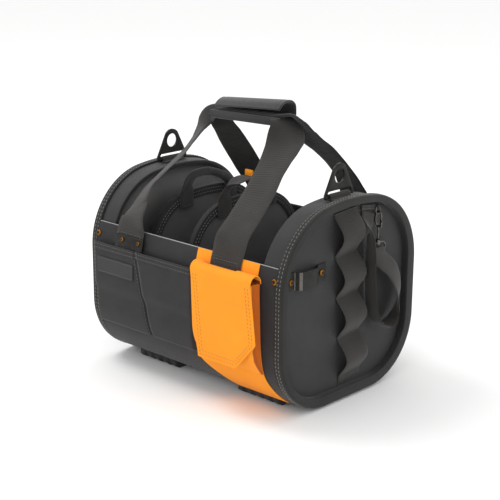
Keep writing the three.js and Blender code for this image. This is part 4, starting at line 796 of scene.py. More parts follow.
def build_divider(name, x, number):
    outline = full_outline(3.5)
    bound = outline[:, 1] > RIM - SHOULDER_LOW + 20
    base = divider_inset(outline[:, 1]) + np.where(bound, ARCH_WALL + GAP, 0)
    depths = [(0, 0.8), (0.6, 0.2), (2, 0), (5, 0), (10, 0), (18, -0.35), (30, -0.7), (44, -0.8), (56, -0.8)]
    layers = []
    for face in (1, -1):
        for depth, sink in depths if face > 0 else reversed(depths):
            layer = inset(x, outline, base + depth)
            ripple = 0.5 * waves(layer[:, 1], layer[:, 2] + 90 * number, 1.1 + number) * smooth(depth, 12, 40)
            layer[:, 0] += face * (DIVIDER_THICKNESS / 2 - sink + ripple)
            layers.append(layer)
    layers = layers[len(depths) - 1 :: -1] + layers[: len(depths) - 1 : -1]
    # The pad's lighter cloth is painted light
    piece = make_piece(f"{name}_pad", *ringed(layers), DIVIDER, [f"{name}_panel"])

    t = DIVIDER_THICKNESS / 2 + GAP
    arch = outline[bound]
    section = round_section([
        (-DIVIDER_HALF, ARCH_DEPTH, 0.3), (-DIVIDER_HALF, 0, 1.5), (DIVIDER_HALF, 0, 1.5),
        (DIVIDER_HALF, ARCH_DEPTH, 0.3), (t, ARCH_DEPTH, 0), (t, ARCH_WALL, 0), (-t, ARCH_WALL, 0), (-t, ARCH_DEPTH, 0),
    ])
    sunk = divider_inset(arch[:, 1])
    sweep = np.stack([inset(x + dx, arch, sunk + depth) for dx, depth in section], axis=1)
    make_piece(f"{name}_arch", *loft(sweep), BINDING, [f"{name}_binding"])
    rows = []
    for face in (-1, 1):
        for depth in (4.2, 8.6):
            rows.append(stitch_row(inset(x + face * DIVIDER_HALF, arch, sunk + depth), (face, 0, 0), length=3.0, gap=1.5, width=0.8))
    add_stitches(f"{name}_arch_stitches", rows, LIGHT_THREAD)


def build_padded_handle():
    """A rolled fabric handle whose flat ends are sewn to the first divider."""
    sewn_x = DIVIDER_X["divider_1"] + DIVIDER_HALF + GAP + 2
    half_span, rise, drop = 43.0, 22.0, 22.0
    rows = [  # y share, z share, roll
        (-1, -drop / rise, 0), (-1, -0.1, 0.1), (-1, 0.45, 0.7), (-0.86, 0.83, 1), (-0.52, 1, 1), (-0.1, 0.93, 1),
        (0.32, 0.66, 1), (0.66, 0.3, 0.8), (0.84, -0.1, 0.3), (0.88, -drop / rise, 0),
    ]
    centres = np.array([(sewn_x, y * half_span, DIVIDER_TOP + z * rise) for y, z, _ in rows])
    places = even_places(centres, 1.5)
    centre = spline(centres, places)
    roll = np.interp(places, range(len(rows)), [r[2] for r in rows])
    along = unit(np.gradient(centre, axis=0))
    normal = np.stack([np.zeros(len(along)), -along[:, 2], along[:, 1]], axis=1)
    wide = mix(22.0, 11.0, roll) / 2
    deep = mix(4.0, 11.0, roll) / 2
    sides = 28
    sections = []
    for k in range(sides):
        angle = (k + 0.5) / sides * 2 * math.pi
        c, s = math.cos(angle), math.sin(angle)
        power = mix(0.25, 1.0, np.minimum(roll * 1.5, 1))
        out = np.sign(c) * abs(c) ** power
        up = np.sign(s) * abs(s) ** power
        crease = 1 - 0.14 * np.exp(-(((angle - math.pi) / 0.25) ** 2)) * roll
        crinkle = 1 + 0.03 * np.sin(lengths_along(centre) / 5 + 3 * s) * roll
        point = centre + normal * (out * wide * crease * crinkle)[:, None]
        point[:, 0] += deep - 2 + up * deep * crinkle
        sections.append(point)
    piece = make_piece("divider_1_grip", *loft(np.stack(sections, axis=1)), PADDED, ["divider_1_handle"])
    rows = []
    for y in (-half_span, 0.87 * half_span):
        z = np.array([DIVIDER_TOP - drop + 3, DIVIDER_TOP - drop + 16])
        for dy in (-7.5, 7.5):
            rows.append(stitch_row(np.array([(sewn_x + 2, y + dy, z[0]), (sewn_x + 2, y + dy, z[1])]), (1, 0, 0)))
        for level in z:
            ends = np.array([(sewn_x + 2, y - 7.5, level), (sewn_x + 2, y + 7.5, level)])
            rows.append(stitch_row(ends, (1, 0, 0)))
    add_stitches("divider_1_grip_stitches", rows, DARK_THREAD)


def build_web_handle():
    x = DIVIDER_X["divider_2"]
    sewn_x = x + DIVIDER_HALF + GAP + 1.2
    half_span, rise, drop, width, thick = 42.0, 21.0, 22.0, 25.0, 2.4
    leg = [  # across, up, turn, side
        (1, -drop / rise, 90, 1), (1, 0, 90, 1), (0.92, 0.3, 82, 1.1), (0.66, 0.66, 40, 0.6), (0.3, 0.93, 10, 0.15),
    ]

    def row(numbers, sign):
        across, up, turn, side = numbers
        centre = (mix(x, sewn_x, side), sign * across * half_span, DIVIDER_TOP + up * rise)
        return {"centre": centre, "turn": sign * turn, "width": width, "thickness": thick}

    rows = [row(r, -1) for r in leg] + [row((0, 1, 0, 0), 1)] + [row(r, 1) for r in reversed(leg)]
    hung_tape(make_piece("divider_2_grip", *ribbon(rows), WEBBING, ["divider_2_handle"]), rows)
    base = DIVIDER_TOP + rise - 0.4 + thick / 2 + GAP
    section = round_section([(-1.5, 0, 0.6), (1.5, 0, 0.6), (1.7, 5, 0.6), (0.9, 8, 0.8), (-0.9, 8, 0.8), (-1.7, 5, 0.6)])
    tab = [[(x + dx, y + 8, base + z) for y, z in section] for dx in np.linspace(-6, 6, 9)]
    make_piece("grip_tab", *loft(tab), ORANGE, ["pull_tab"])


# Carry straps and the wrap round them

STRAP_LEFT_X = -93.0
STRAP_RIGHT_X = 77.0
SEWN_LENGTH = 72.0
GRIP_HALF = 59.0
GRIP_HEIGHT = 333.5
GRIP_SLOPE = 0.03
STRAP_BEND = 15.0
FOLDED_WIDTH = 23.0
PANEL_THICKNESS = 1.2
STRAP_SEAT = PANEL_THICKNESS + 2 * GAP + STRAP_THICKNESS / 2
LAYER_GAP = 2 * GAP


def grip_at(x):
    return GRIP_HEIGHT + x * GRIP_SLOPE


# Free part of each strap leg above the rim: middle, direction across (turned about Z, then tipped), width
STRAP_LEGS = {
    ("strap_front", -1): [
        (-92, -121, 210, -14, 6, 50), (-96, -109, 222, -26, 9, 50), (-98, -99, 232, -34, 9, 50),
        (-99, -88, 241, -39, 10, 50), (-98, -73, 251, -39, 10, 50), (-93, -59, 263, -39, 10, 50),
        (-88, -43, 276, -38, 9, 48), (-86, -28, 288, -40, 10, 42), (-84, -16, 300, -37, 8, 36),
        (-83, -8, 310, -29, 0, 30), (-80, -5, 319, -16, -22, 26), (-73, -3, 327, -8, -48, 24), (-62, -2, 332, -50, -50, 23),
    ],
    ("strap_front", 1): [
        (81, -119, 216, 4, 3, 50), (82, -100, 236, 1, 2, 50), (82, -77, 259, -1, 1, 50), (79, -57, 279, -3, 4, 50),
        (77, -41, 294, 2, 3, 49), (74, -24, 310, 20, 0, 47), (69, -11, 325, 55, -9, 46), (61, -5, 335, 78, -7, 44),
        (54, -2, 337, 90, 0, 34),
    ],
    ("strap_back", -1): [
        (-93, 116, 209, 2, 3, 50), (-88, 93, 235, 1, 10, 50), (-82, 70, 260, -1, 13, 50), (-75, 47, 283, 0, 14, 47),
        (-69, 27, 303, 7, 12, 40), (-66, 14, 315, 14, 15, 33), (-64, 5, 328, 45, 18, 27), (-56, 1, 337, 90, 0, 23),
    ],
    ("strap_back", 1): [
        (80, 113, 222, -8, 12, 50), (84, 93, 249, -17, 9, 50), (82, 73, 272, -19, 10, 50), (77, 52, 293, -22, 16, 50),
        (73, 34, 308, -26, 22, 48), (71, 21, 322, -32, 26, 42), (70, 11, 334, -40, 26, 34), (64, 5, 342, -60, 18, 28),
        (55, 1, 342, -90, 0, 24),
    ],
}


def strap_leg(name, side):
    """Rows of one strap leg, from its sewn foot up its climb into the grip."""
    face = -1 if name == "strap_front" else 1
    rim_x = STRAP_LEFT_X if side < 0 else STRAP_RIGHT_X
    rows = []
    for z in (RIM - SEWN_LENGTH, 135, 150, 162, 172, 182, RIM):
        point = on_front(rim_x, z, STRAP_SEAT)
        centre = (rim_x, -face * point[1], point[2])
        rows.append({"centre": centre, "turn": 0, "width": STRAP_WIDTH, "thickness": STRAP_THICKNESS})
    for x, y, z, turn, tip, width in STRAP_LEGS[name, side]:
        thick = STRAP_THICKNESS * (1 + float(smooth(STRAP_WIDTH - width, 0, 26)) * 0.9)
        rows.append({"centre": (x, y, z), "turn": turn, "tip": tip, "width": width, "thickness": thick})
    return rows


def build_straps():
    for name, outer, turn in (("strap_front", 0, -90), ("strap_back", 1, 90)):
        left, right = strap_leg(name, -1), strap_leg(name, 1)[::-1]
        for row in right:
            row["turn"] += 180
            row["tip"] = -row.get("tip", 0)
        grip = []
        for x in (-46, 0, 44):
            centre = (x, 0, grip_at(x) + outer * (2 * STRAP_THICKNESS + LAYER_GAP))
            grip.append({"centre": centre, "turn": turn, "width": FOLDED_WIDTH, "thickness": 2 * STRAP_THICKNESS})
        web = ribbon(left + grip + right, steps_mm=0.85, rib=0.34, pitch=3.4)
        hung_tape(make_piece(f"{name}_web", *web, WEBBING, [name]), left + grip + right)
    rows = []
    for side_x in (STRAP_LEFT_X, STRAP_RIGHT_X):
        out = STRAP_SEAT + STRAP_THICKNESS / 2
        low, high = RIM - SEWN_LENGTH + 5, RIM - 6
        z = np.linspace(low, high, 20)
        for face in (-1, 1):
            lines = [on_front(side_x + dx, z, out) for dx in (-21, 21)]
            lines += [on_front(np.linspace(-21, 21, 5) + side_x, np.full(5, level), out) for level in (low, high)]
            lines += [on_front(np.linspace(-21, 21, 20) * s + side_x, z, out) for s in (-1, 1)]
            for line in lines:
                normal = front_normal(line[:, 2])
                line[:, 1] *= -face
                normal[:, 1] *= -face
                rows.append(stitch_row(line, normal, length=3.2))
    add_stitches("strap_stitches", rows, DARK_THREAD)


def wrap_outline(x):
    """The wrap's middle line at x: an open C from the front band under the straps and over the top."""
    share = (x + GRIP_HALF) / (2 * GRIP_HALF)
    height = mix(25.0, 31.0, share) - 2.6
    half = FOLDED_WIDTH / 2 + 1 + GAP + 1.3
    bottom = grip_at(x) - STRAP_THICKNESS - GAP - 1.3
    stack = 4 * STRAP_THICKNESS + LAYER_GAP + 2 * GAP
    top = bottom + max(height, stack + 2.6)
    return np.array([
        (-half, bottom + 8.5), (-half - 0.6, bottom + 5), (-half, bottom + 1.6), (-half + 1.6, bottom),
        (half - 1.6, bottom), (half, bottom + 1.6), (half + 1.5, mix(bottom, top, 0.5)), (half, mix(bottom, top, 0.8)),
        (half * 0.6, mix(bottom, top, 0.96)), (half * 0.1, top), (-half * 0.6, mix(bottom, top, 0.9)),
        (-half * 1.1, mix(bottom, top, 0.7)),
    ])


def build_wrap():
    xs = np.concatenate([[-GRIP_HALF], np.linspace(-GRIP_HALF + 1, GRIP_HALF - 1, 60), [GRIP_HALF]])
    grid = []
    for x in xs:
        line = wrap_outline(x)
        line = np.hstack([np.zeros((len(line), 1)), line])
        curve = spline(line, np.linspace(0, len(line) - 1, 90))
        over = smooth(np.arange(90), 52, 88) * (GRIP_HALF - x) / (2 * GRIP_HALF)
        curve[:, 0] = x + 8 * over
        grid.append(curve)
    grid = np.array(grid)
    normal = surface_normals(grid)
    if normal[30, 20, 2] > 0:
        normal = -normal
    edge = np.minimum(xs + GRIP_HALF, GRIP_HALF - xs)[:, None]
    quilt = 0.25 * smooth(edge, 0, 6) - 0.3 * np.exp(-(((edge - 5) / 1.2) ** 2))
    outer = grid + normal * (1.3 + quilt)[..., None]
    piece = make_piece("grip_cover", *cloth(outer, 2.7, flip=1 if np.dot(surface_normals(outer)[30, 20], normal[30, 20]) > 0 else -1), WRAP, ["grip_wrap"])


# Orange panel, pouch and flap

PANEL_OUTSIDE = PANEL_THICKNESS + GAP
POUCH_LEFT, POUCH_RIGHT = 35.0, 134.0
POUCH_DEPTH, POUCH_WALL = 16.0, 1.4
POUCH_LOW, POUCH_TOP = 59.0, 171.0
FLAP_LEFT, FLAP_WIDTH, FLAP_LEAN = 36.0, 98.0, 14.0
FLAP_TOP, FLAP_LOW, FLAP_CHAMFER = 182.0, 65.5, 36.0
FLAP_THICKNESS = 1.6


def build_panel():
    zs = np.concatenate([np.linspace(RIM, 90, 40), np.linspace(88, 15, 34)])
    below = smooth(POUCH_LOW - zs, 0, POUCH_LOW - 15)
    left = 27 + below * 36
    right = mix(137, 128, smooth(zs, POUCH_LOW, RIM)) + below * 9
    t = np.linspace(0, 1, 34)
    xs = left[:, None] + (right - left)[:, None] * t
    grid = on_front(xs, zs[:, None] + 0 * xs, PANEL_OUTSIDE)
    make_piece("panel_cloth", *cloth(grid, PANEL_THICKNESS, flip=panel_flip(grid)), ORANGE, ["orange_panel"])


def panel_flip(grid):
    """1 if the grid's own normals look out to the front, else -1."""
    normal = surface_normals(grid)
    return 1 if normal[..., 1].mean() < 0 else -1


def build_pouch():
    back = PANEL_OUTSIDE + GAP
    zs = np.concatenate([[POUCH_LOW, POUCH_LOW + 0.7], np.linspace(POUCH_LOW + 3, POUCH_TOP, 56)])
    sections = []
    for z in zs:
        wall_y = float(wall_at(z)[0])
        share = (z - POUCH_LOW) / (POUCH_TOP - POUCH_LOW)
        full = 0.16 + 0.84 * math.sin(math.pi / 2 * min(share / 0.4, 1))
        lean = (1 - share) * 4
        left, right = POUCH_LEFT + lean, POUCH_RIGHT + lean
        depth = back + POUCH_DEPTH * full
        half = mix(back, depth, 0.5)
        fold = min(4.0, (depth - back) / 4)
        w = POUCH_WALL
        corners = [
            (left, back, 0.3), (left + fold, half, 2.5), (left, depth, 1.6), (right, depth, 1.6), (right - fold, half, 2.5),
            (right, back, 0.3), (right - w, back, 0), (right - fold - w, half, 2.5), (right - w, depth - w, 1),
            (left + w, depth - w, 1), (left + fold + w, half, 2.5), (left + w, back, 0),
        ]
        section = round_section(corners)
        sections.append([(x, wall_y - out, z) for x, out in section])
    sections = np.array(sections)
    points, faces, uvs = loft(sections)
    # Gusset faces near the pouch's sides and behind its front get the deeper orange as painted shade
    shaded_gusset_faces = []
    for i, face in enumerate(faces):
        middle = points[list(face)].mean(0)
        edge_x = min(middle[0] - POUCH_LEFT, POUCH_RIGHT + 4 - middle[0])
        if edge_x < 9 and wall_at(middle[2])[0] - middle[1] < back + POUCH_DEPTH * 0.72:
            shaded_gusset_faces.append(i)
    make_piece("pouch_bag", points, faces, uvs, ORANGE, ["pouch_body"], edge=(ORANGE_GUSSET_SHADE, shaded_gusset_faces))


def flap_grid(columns=60):
    """The flap's outer surface: down behind the fold, round it and down the front, with a cut corner."""
    on_panel = PANEL_OUTSIDE + GAP
    over_strap = on_panel + STRAP_THICKNESS + GAP
    outside = on_panel + POUCH_DEPTH + GAP
    spring = FLAP_TOP - FLAP_THICKNESS - (outside - over_strap) / 2
    wall_y = -WIDTH / 2
    path = [(180.0, spring - 1.5)] + [(180 - 7.5 * k, spring) for k in range(25)]
    path += [(0.0, z) for z in np.linspace(spring, FLAP_LOW, 62)[1:]]
    chamfer_z = FLAP_LOW + FLAP_CHAMFER
    grid = []
    for angle, z in path:
        leaned = (FLAP_TOP - z) / (FLAP_TOP - FLAP_LOW) * FLAP_LEAN
        left = FLAP_LEFT + leaned
        cut = FLAP_CHAMFER * max(chamfer_z - z, 0) / FLAP_CHAMFER
        x = np.linspace(left, left + FLAP_WIDTH - cut, columns)
        near = 1 - smooth(abs(x - STRAP_RIGHT_X), 25, 29)
        back = mix(on_panel, over_strap, near)
        radius = (outside - back) / 2 + FLAP_THICKNESS
        a = math.radians(angle)
        out = (outside + back) / 2 + radius * math.cos(a)
        grid.append(np.stack([x, wall_y - out, z + radius * math.sin(a)], axis=1))
    return np.array(grid)


def build_flap():
    grid = flap_grid()
    points, faces, uvs = cloth(grid, FLAP_THICKNESS, flip=panel_flip(grid[40:]))
    inner = (POUCH_DEPTH + GAP) / 2
    axis_z = FLAP_TOP - FLAP_THICKNESS - inner
    axis_y = -WIDTH / 2 - PANEL_OUTSIDE - GAP - inner
    # Faces inside the flap's roll get the dark orange as painted shade
    inside = []
    for i, face in enumerate(faces):
        middle = points[list(face)].mean(0)
        if middle[2] > axis_z - 10 and math.hypot(middle[1] - axis_y, max(middle[2] - axis_z, 0)) < inner + 0.4:
            inside.append(i)
    piece = make_piece("flap_cloth", points, faces, uvs, ORANGE, ["pouch_flap"], edge=(ORANGE_ROLL_SHADE, inside))
    rows = []
    flat = grid[27:]
    normal = (0, -1, 0)
    for inset_mm in (4.0, 8.5):
        right_edge = flat[:-1, -1] + np.array([-inset_mm, 0, 0])
        left_edge = flat[:-1, 0] + np.array([inset_mm, 0, 0])
        bottom = flat[-1][2:-1] + np.array([0, 0, inset_mm])
        keep = right_edge[:, 2] > FLAP_LOW + inset_mm
        for line in (right_edge[keep], left_edge[left_edge[:, 2] > FLAP_LOW + inset_mm], bottom):
            rows.append(stitch_row(line, normal, length=3.2, gap=1.2, width=1.0, height=0.45))
    add_stitches("flap_stitches", rows, ORANGE_THREAD)


# Front pocket and its bare patch

POCKET_RIGHT = 26.6
POCKET_LOW, POCKET_TOP = 58.0, 168.0
POCKET_LEFT = -BINDING_X + GAP


def pocket_seam(z):
    return mix(-53.0, -76.0, (z - POCKET_LOW) / (POCKET_TOP - POCKET_LOW))


def pocket_out(x, z):
    """How far the pocket's inner face stands off the wall."""
    x, z = np.broadcast_arrays(np.asarray(x, float), np.asarray(z, float))
    seam = pocket_seam(z)
    low = np.where(x < seam, POCKET_LEFT, seam)
    high = np.where(x < seam, seam, POCKET_RIGHT)
    across = smooth(np.minimum(x - low, high - x), -0.5, 4)
    up = smooth(z, POCKET_LOW - 0.5, POCKET_LOW + 3)
    strap_top = smooth(z, RIM - SEWN_LENGTH - 22, RIM - SEWN_LENGTH - 4)
    least = mix(GAP, STRAP_SEAT + STRAP_THICKNESS / 2 + GAP, strap_top)
    return least + (3.0 - least * 0.3) * across * up


def build_pocket():
    zs = [np.linspace(POCKET_TOP, POCKET_TOP - 9, 10), np.linspace(POCKET_TOP - 9.6, POCKET_LOW + 5, 60)]
    zs = np.concatenate([*zs, np.linspace(POCKET_LOW + 4.3, POCKET_LOW, 8)])
    rows = []
    for z in zs:
        seam = pocket_seam(z)
        t = (1 - np.cos(np.linspace(0, math.pi, 34))) / 2
        x = np.concatenate([mix(POCKET_LEFT, seam, t), mix(seam, POCKET_RIGHT, t)[1:]])
        out = pocket_out(x, z) + 1.4
        y = wall_at(z)[0] - out
        rows.append(np.stack([x, np.broadcast_to(y, x.shape), np.full_like(x, z)], axis=1))
    grid = np.array(rows)
    hem = np.where(zs >= POCKET_TOP - 9, 0.8, 0.0)[:, None] * np.ones(grid.shape[1])
    piece = make_piece("pocket_cloth", *cloth(grid, 1.4, flip=panel_flip(grid), extra=hem), SHELL, ["front_pocket"])

    def on_pocket(x, z, lift=0.0):
        x, z = np.broadcast_arrays(np.asarray(x, float), np.asarray(z, float))
        return np.stack([x, wall_at(z)[0] - pocket_out(x, z) - 1.4 - lift, z], axis=-1)

    lines = []
    hem_x = np.linspace(POCKET_LEFT + 2, POCKET_RIGHT - 2, 80)
    lines.append(on_pocket(hem_x, POCKET_TOP - 2.2, 0.8))
    lines.append(on_pocket(hem_x, POCKET_TOP - 7.2, 0.8))
    seam_z = np.linspace(POCKET_LOW + 3, POCKET_TOP - 1, 60)
    for dx in (-3.0, 3.0):
        lines.append(on_pocket(pocket_seam(seam_z) + dx, seam_z, 0.0))
    add_stitches("pocket_stitches", [stitch_row(line, (0, -1, 0), length=3.2, gap=1.2, width=0.9) for line in lines], DARK_THREAD)

    px = np.linspace(-147, -79, 40)
    pz = np.linspace(150, 129, 14)
    grid = on_pocket(px[None, :], pz[:, None], 2 * GAP + 0.8)
    make_piece("bare_patch", *cloth(grid, 0.8, flip=panel_flip(grid)), PATCH, ["label_patch"])
    corners = np.array([(-145.2, 148.3), (-80.8, 148.3), (-80.8, 130.7), (-145.2, 130.7), (-145.2, 148.3)])
    border = []
    for a, b in zip(corners[:-1], corners[1:]):
        t = np.linspace(0, 1, 20)[:, None]
        line = a * (1 - t) + b * t
        border.append(stitch_row(on_pocket(line[:, 0], line[:, 1], 2 * GAP + 0.8), (0, -1, 0), length=1.8))
    add_stitches("patch_stitches", border, DARK_THREAD)


# Metal pieces


def plate(outlines, thickness, bevel, origin, axes):
    """A flat plate with rounded edges: outlines are the outer edge, then holes, in the first two axes."""
    curve = bpy.data.curves.new("plate", "CURVE")
    curve.dimensions = "2D"
    curve.fill_mode = "BOTH"
    curve.extrude = thickness / 2 - bevel
    curve.bevel_depth = bevel
    curve.bevel_resolution = 2
    curve.offset = -bevel
    for outline in outlines:
        line = curve.splines.new("POLY")
        line.points.add(len(outline) - 1)
        for point, (a, b) in zip(line.points, outline):
            point.co = (a, b, 0, 1)
        line.use_cyclic_u = True
    holder = bpy.data.objects.new("plate", curve)
    mesh = bpy.data.meshes.new_from_object(holder)
    local = np.array([v.co for v in mesh.vertices])
    faces = [tuple(p.vertices) for p in mesh.polygons]
    bpy.data.objects.remove(holder)
    bpy.data.meshes.remove(mesh)
    points = np.asarray(origin, float) + local @ np.array([unit(axis) for axis in axes], float)
    points, faces = weld(points, faces)
    uvs = [[(points[k] @ unit(axes[0]), points[k] @ unit(axes[1])) for k in face] for face in faces]
    return outward(points, faces, uvs)


def weld(points, faces):
    """The same faces with points that share a place joined."""
    keys = {}
    index = [keys.setdefault(tuple(np.round(p, 4)), len(keys)) for p in points]
    joined = np.array(list(keys), float)
    out = []
    for face in faces:
        ring = [index[k] for k in face]
        ring = [k for i, k in enumerate(ring) if k != ring[i - 1]]
        if len(ring) > 2:
            out.append(tuple(ring))
    return joined, out


def circle(centre, radius, start=0.0, end=360.0, steps=32, ends=False):
    angles = np.radians(np.linspace(start, end, steps + 1))
    if not ends:
        angles = angles[:-1]
    return np.stack([centre[0] + radius * np.cos(angles), centre[1] + radius * np.sin(angles)], axis=1)


def node_box(node):
    """A node's lowest and highest corners in the bag's frame, in millimetres."""
    low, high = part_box(node)
    return np.array(low) / MM - SHIFT, np.array(high) / MM - SHIFT


RING_WIDTH, RING_HEIGHT, RING_PLATE = 53.0, 39.0, 3.0
RING_BAR, RING_HOLE, RING_TOP = 2.0, 9.0, 13.5
RING_SLOT_LENGTH, RING_SLOT_HEIGHT = 43.0, 5.0
RING_X = END_X - 20
RING_AXIS_Z = END_TOP - HOOP_OUT + 2 * GAP + 1.6 + GAP + RING_BAR


def build_rings():
    """Pierced plates on round bars, each held by a webbing keeper."""
    half, foot, top_z = RING_WIDTH / 2, RING_BAR * 0.9, RING_HEIGHT - RING_TOP
    slot = RING_SLOT_LENGTH / 2
    ceiling = RING_SLOT_HEIGHT + RING_BAR
    legs = [(-half, -foot), (-slot, -foot), (-slot, ceiling - 1.5), (-slot + 1.5, ceiling)]
    legs += [(slot - 1.5, ceiling), (slot, ceiling - 1.5), (slot, -foot), (half, -foot), (half, 3)]
    outer = np.vstack([legs, circle((0, top_z), RING_TOP, 38, 142, 20, ends=True), [(-half, 3)]])
    hole = circle((0, top_z - 1.8), RING_HOLE)[::-1]
    for side, word in ((-1, "left"), (1, "right")):
        origin = np.array([side * RING_X, -6.0 if side > 0 else 0.0, RING_AXIS_Z])
        body = plate([outer, hole], RING_PLATE, 0.5, origin, ((0, 1, 0), (0, 0, 1), (1, 0, 0)))
        bar = [(0, 0), (RING_BAR - 0.3, 0), (RING_BAR, 0.3), (RING_BAR, RING_WIDTH - 1.3), (RING_BAR - 0.3, RING_WIDTH - 1)]
        rod = turned([*bar, (0, RING_WIDTH - 1)], origin - np.array([0, half - 0.5, 0]), (0, 1, 0))
        make_piece(f"carry_ring_{word}", *merged(body, rod), BLACK_METAL, [f"ring_{word}"], body=f"ring_{word}")

        over = RING_BAR + GAP + 0.8
        path = [(-7.2, -3.1), (-5.4, -3.05), (-3.9, -2.3)]
        path += [(-over * math.cos(a), over * math.sin(a)) for a in np.radians(np.arange(-10, 191, 20))]
        path += [(3.9, -2.3), (5.4, -3.05), (7.2, -3.1)]
        rows = [{"centre": origin + (x, 0, z), "turn": 90, "width": 38, "thickness": 1.6, "shear": 1} for x, z in path]
        web = ribbon(rows, steps_mm=0.4, rib=0.1, pitch=1.8)
        hung_tape(make_piece(f"keeper_web_{word}", *web, WEBBING, [f"ring_keeper_{word}"]), rows)
        lines = [[origin + (dx, y, -2.3) for y in np.linspace(-18, 18, 12)] for dx in (-6, 6)]
        add_stitches(f"keeper_stitches_{word}", [stitch_row(line, (0, 0, 1)) for line in lines], DARK_THREAD)


def rounded_box(width, height, radius, steps=6):
    """The outline of a rectangle with round corners, round its middle."""
    corners = [(1, 1, 0), (-1, 1, 90), (-1, -1, 180), (1, -1, 270)]
    arcs = []
    for sx, sy, start in corners:
        centre = (sx * (width / 2 - radius), sy * (height / 2 - radius))
        arcs.append(circle(centre, radius, start, start + 90, steps, ends=True))
    return np.vstack(arcs)


def build_bar_clip():
    """A flat metal bar riveted over the left leg of the front strap."""
    z = RIM - 14
    normal = front_normal(z)
    seat = STRAP_SEAT + STRAP_THICKNESS / 2 + 2 * GAP
    up = np.cross(normal, (1, 0, 0)) * -1
    if up[2] < 0:
        up = -up
    centre = on_front(STRAP_LEFT_X + 3, z, seat + 1)
    shape = plate([rounded_box(52, 11, 1.5)], 2, 0.6, centre, ((1, 0, 0), up, normal))
    make_piece("strap_bar", *shape, BLACK_METAL, ["bar_clip_front"])
    for side, word in ((-1, "left"), (1, "right")):
        point = on_front(STRAP_LEFT_X + 6.5 + side * 15, z, seat + 2 + GAP - 0.4)
        rivet(f"strap_bar_rivet_{word}", f"bar_clip_rivet_{word}", point, normal, 2.6, 2.2)


def build_tape_clip():
    """One strip on the right end: foot, ramp, bridge, ramp, foot, with painted highlights along its bends."""
    low, high = node_box("tape_clip")
    centre_y, centre_z = (low[1] + high[1]) / 2, (low[2] + high[2]) / 2
    half, lift, thick = 35.0, 7.0, 1.4
    inner = half - 15
    bends = [(-inner, 0), (-inner + 4, lift), (inner - 8, lift), (inner, 0)]
    path = [(-half, 0)]
    for i, bend in enumerate(bends):
        before = np.array(([(-half, 0)] + bends)[i])
        after = np.array((bends + [(half, 0)])[i + 1])
        here = np.array(bend)
        start = here + unit(before - here) * 1.6
        end = here + unit(after - here) * 1.6
        path += [tuple((1 - t) ** 2 * start + 2 * t * (1 - t) * here + t * t * end) for t in np.linspace(0, 1, 6)]
    path.append((half, 0))
    path = np.array(path)
    along = unit(np.gradient(path, axis=0))
    normal = np.stack([-along[:, 1], along[:, 0]], axis=1)
    edges = round_section([(-11, 0, 0.5), (11, 0, 0.5), (11, thick, 0.5), (-11, thick, 0.5)], steps=2)
    sections = []
    for (y, x), (ny, nx) in zip(path, normal):
        sections.append([(FACE_SEAT + x + nx * t, centre_y + y + ny * t, centre_z + w) for w, t in edges])
    points, faces, uvs = loft(sections)
    count = len(edges)
    # Faces round the bends take the nickel material as a painted highlight
    bend_highlight_faces = [i for i in range(len(faces) - 2) if abs(np.cross(along[i // count], along[i // count + 1])) > 0.15]
    make_piece("belt_clip", points, faces, uvs, BLACK_METAL, ["tape_clip"], edge=(NICKEL[0], bend_highlight_faces))
    for side, word in ((-1, "left"), (1, "right")):
        point = (FACE_SEAT + thick + GAP - 0.2, centre_y + side * (half - 7.5), centre_z)
        rivet(f"belt_clip_rivet_{word}", f"tape_clip_rivet_{word}", point, (1, 0, 0), 4.0)


LOOP_COUNT = 4
LOOP_WIDTH = 42.0
LOOP_TOP_Z = END_TOP - 18.5
LOOP_PITCH = 52.8
LOOP_LEFT_Y = -27.0
LOOP_LEAN = math.radians(4.3)


def on_loops(y, z, out):
    """A point of the leaning loop strip: y across it, z down from its top, out from the face."""
    turned_y = y * math.cos(LOOP_LEAN) - z * math.sin(LOOP_LEAN)
    turned_z = y * math.sin(LOOP_LEAN) + z * math.cos(LOOP_LEAN)
    return np.array([FACE_SEAT + out, LOOP_LEFT_Y + turned_y, LOOP_TOP_Z + turned_z])


def build_tool_loops():
    path = [(1.5, 0.0)]
    for loop in range(LOOP_COUNT):
        for share in np.linspace(0, 1, 13)[:-1]:
            path.append((-(loop + share) * LOOP_PITCH, math.sin(math.pi * share) ** 1.4 * 14.5))
    path += [(-LOOP_COUNT * LOOP_PITCH, 0.0), (-LOOP_COUNT * LOOP_PITCH - 7, 0.0)]
    rows = []
    for z, out in path:
        centre = on_loops(LOOP_WIDTH / 2, z, out + 0.8)
        rows.append({"centre": centre, "turn": 90, "width": LOOP_WIDTH, "thickness": 1.6, "tip": math.degrees(LOOP_LEAN)})
    hung_tape(make_piece("loop_strip", *ribbon(rows, steps_mm=0.7, rib=0.12, pitch=2.2), WEBBING, ["tool_loops"]), rows)
    lines = []
    for loop in range(LOOP_COUNT + 1):
        for dz in (-0.9, 0.9):
            level = -loop * LOOP_PITCH + dz - (2.5 if loop == LOOP_COUNT else 0)
            lines.append([on_loops(y, level, 1.6) for y in np.linspace(2, LOOP_WIDTH - 2, 12)])
    add_stitches("loop_stitches", [stitch_row(line, (1, 0, 0)) for line in lines], DARK_THREAD)


# The hanging tape with its snap hook

ANCHOR_RIGHT_Y = 58.0
ANCHOR_THICKNESS = 2.4
LINK_Y = 54.0


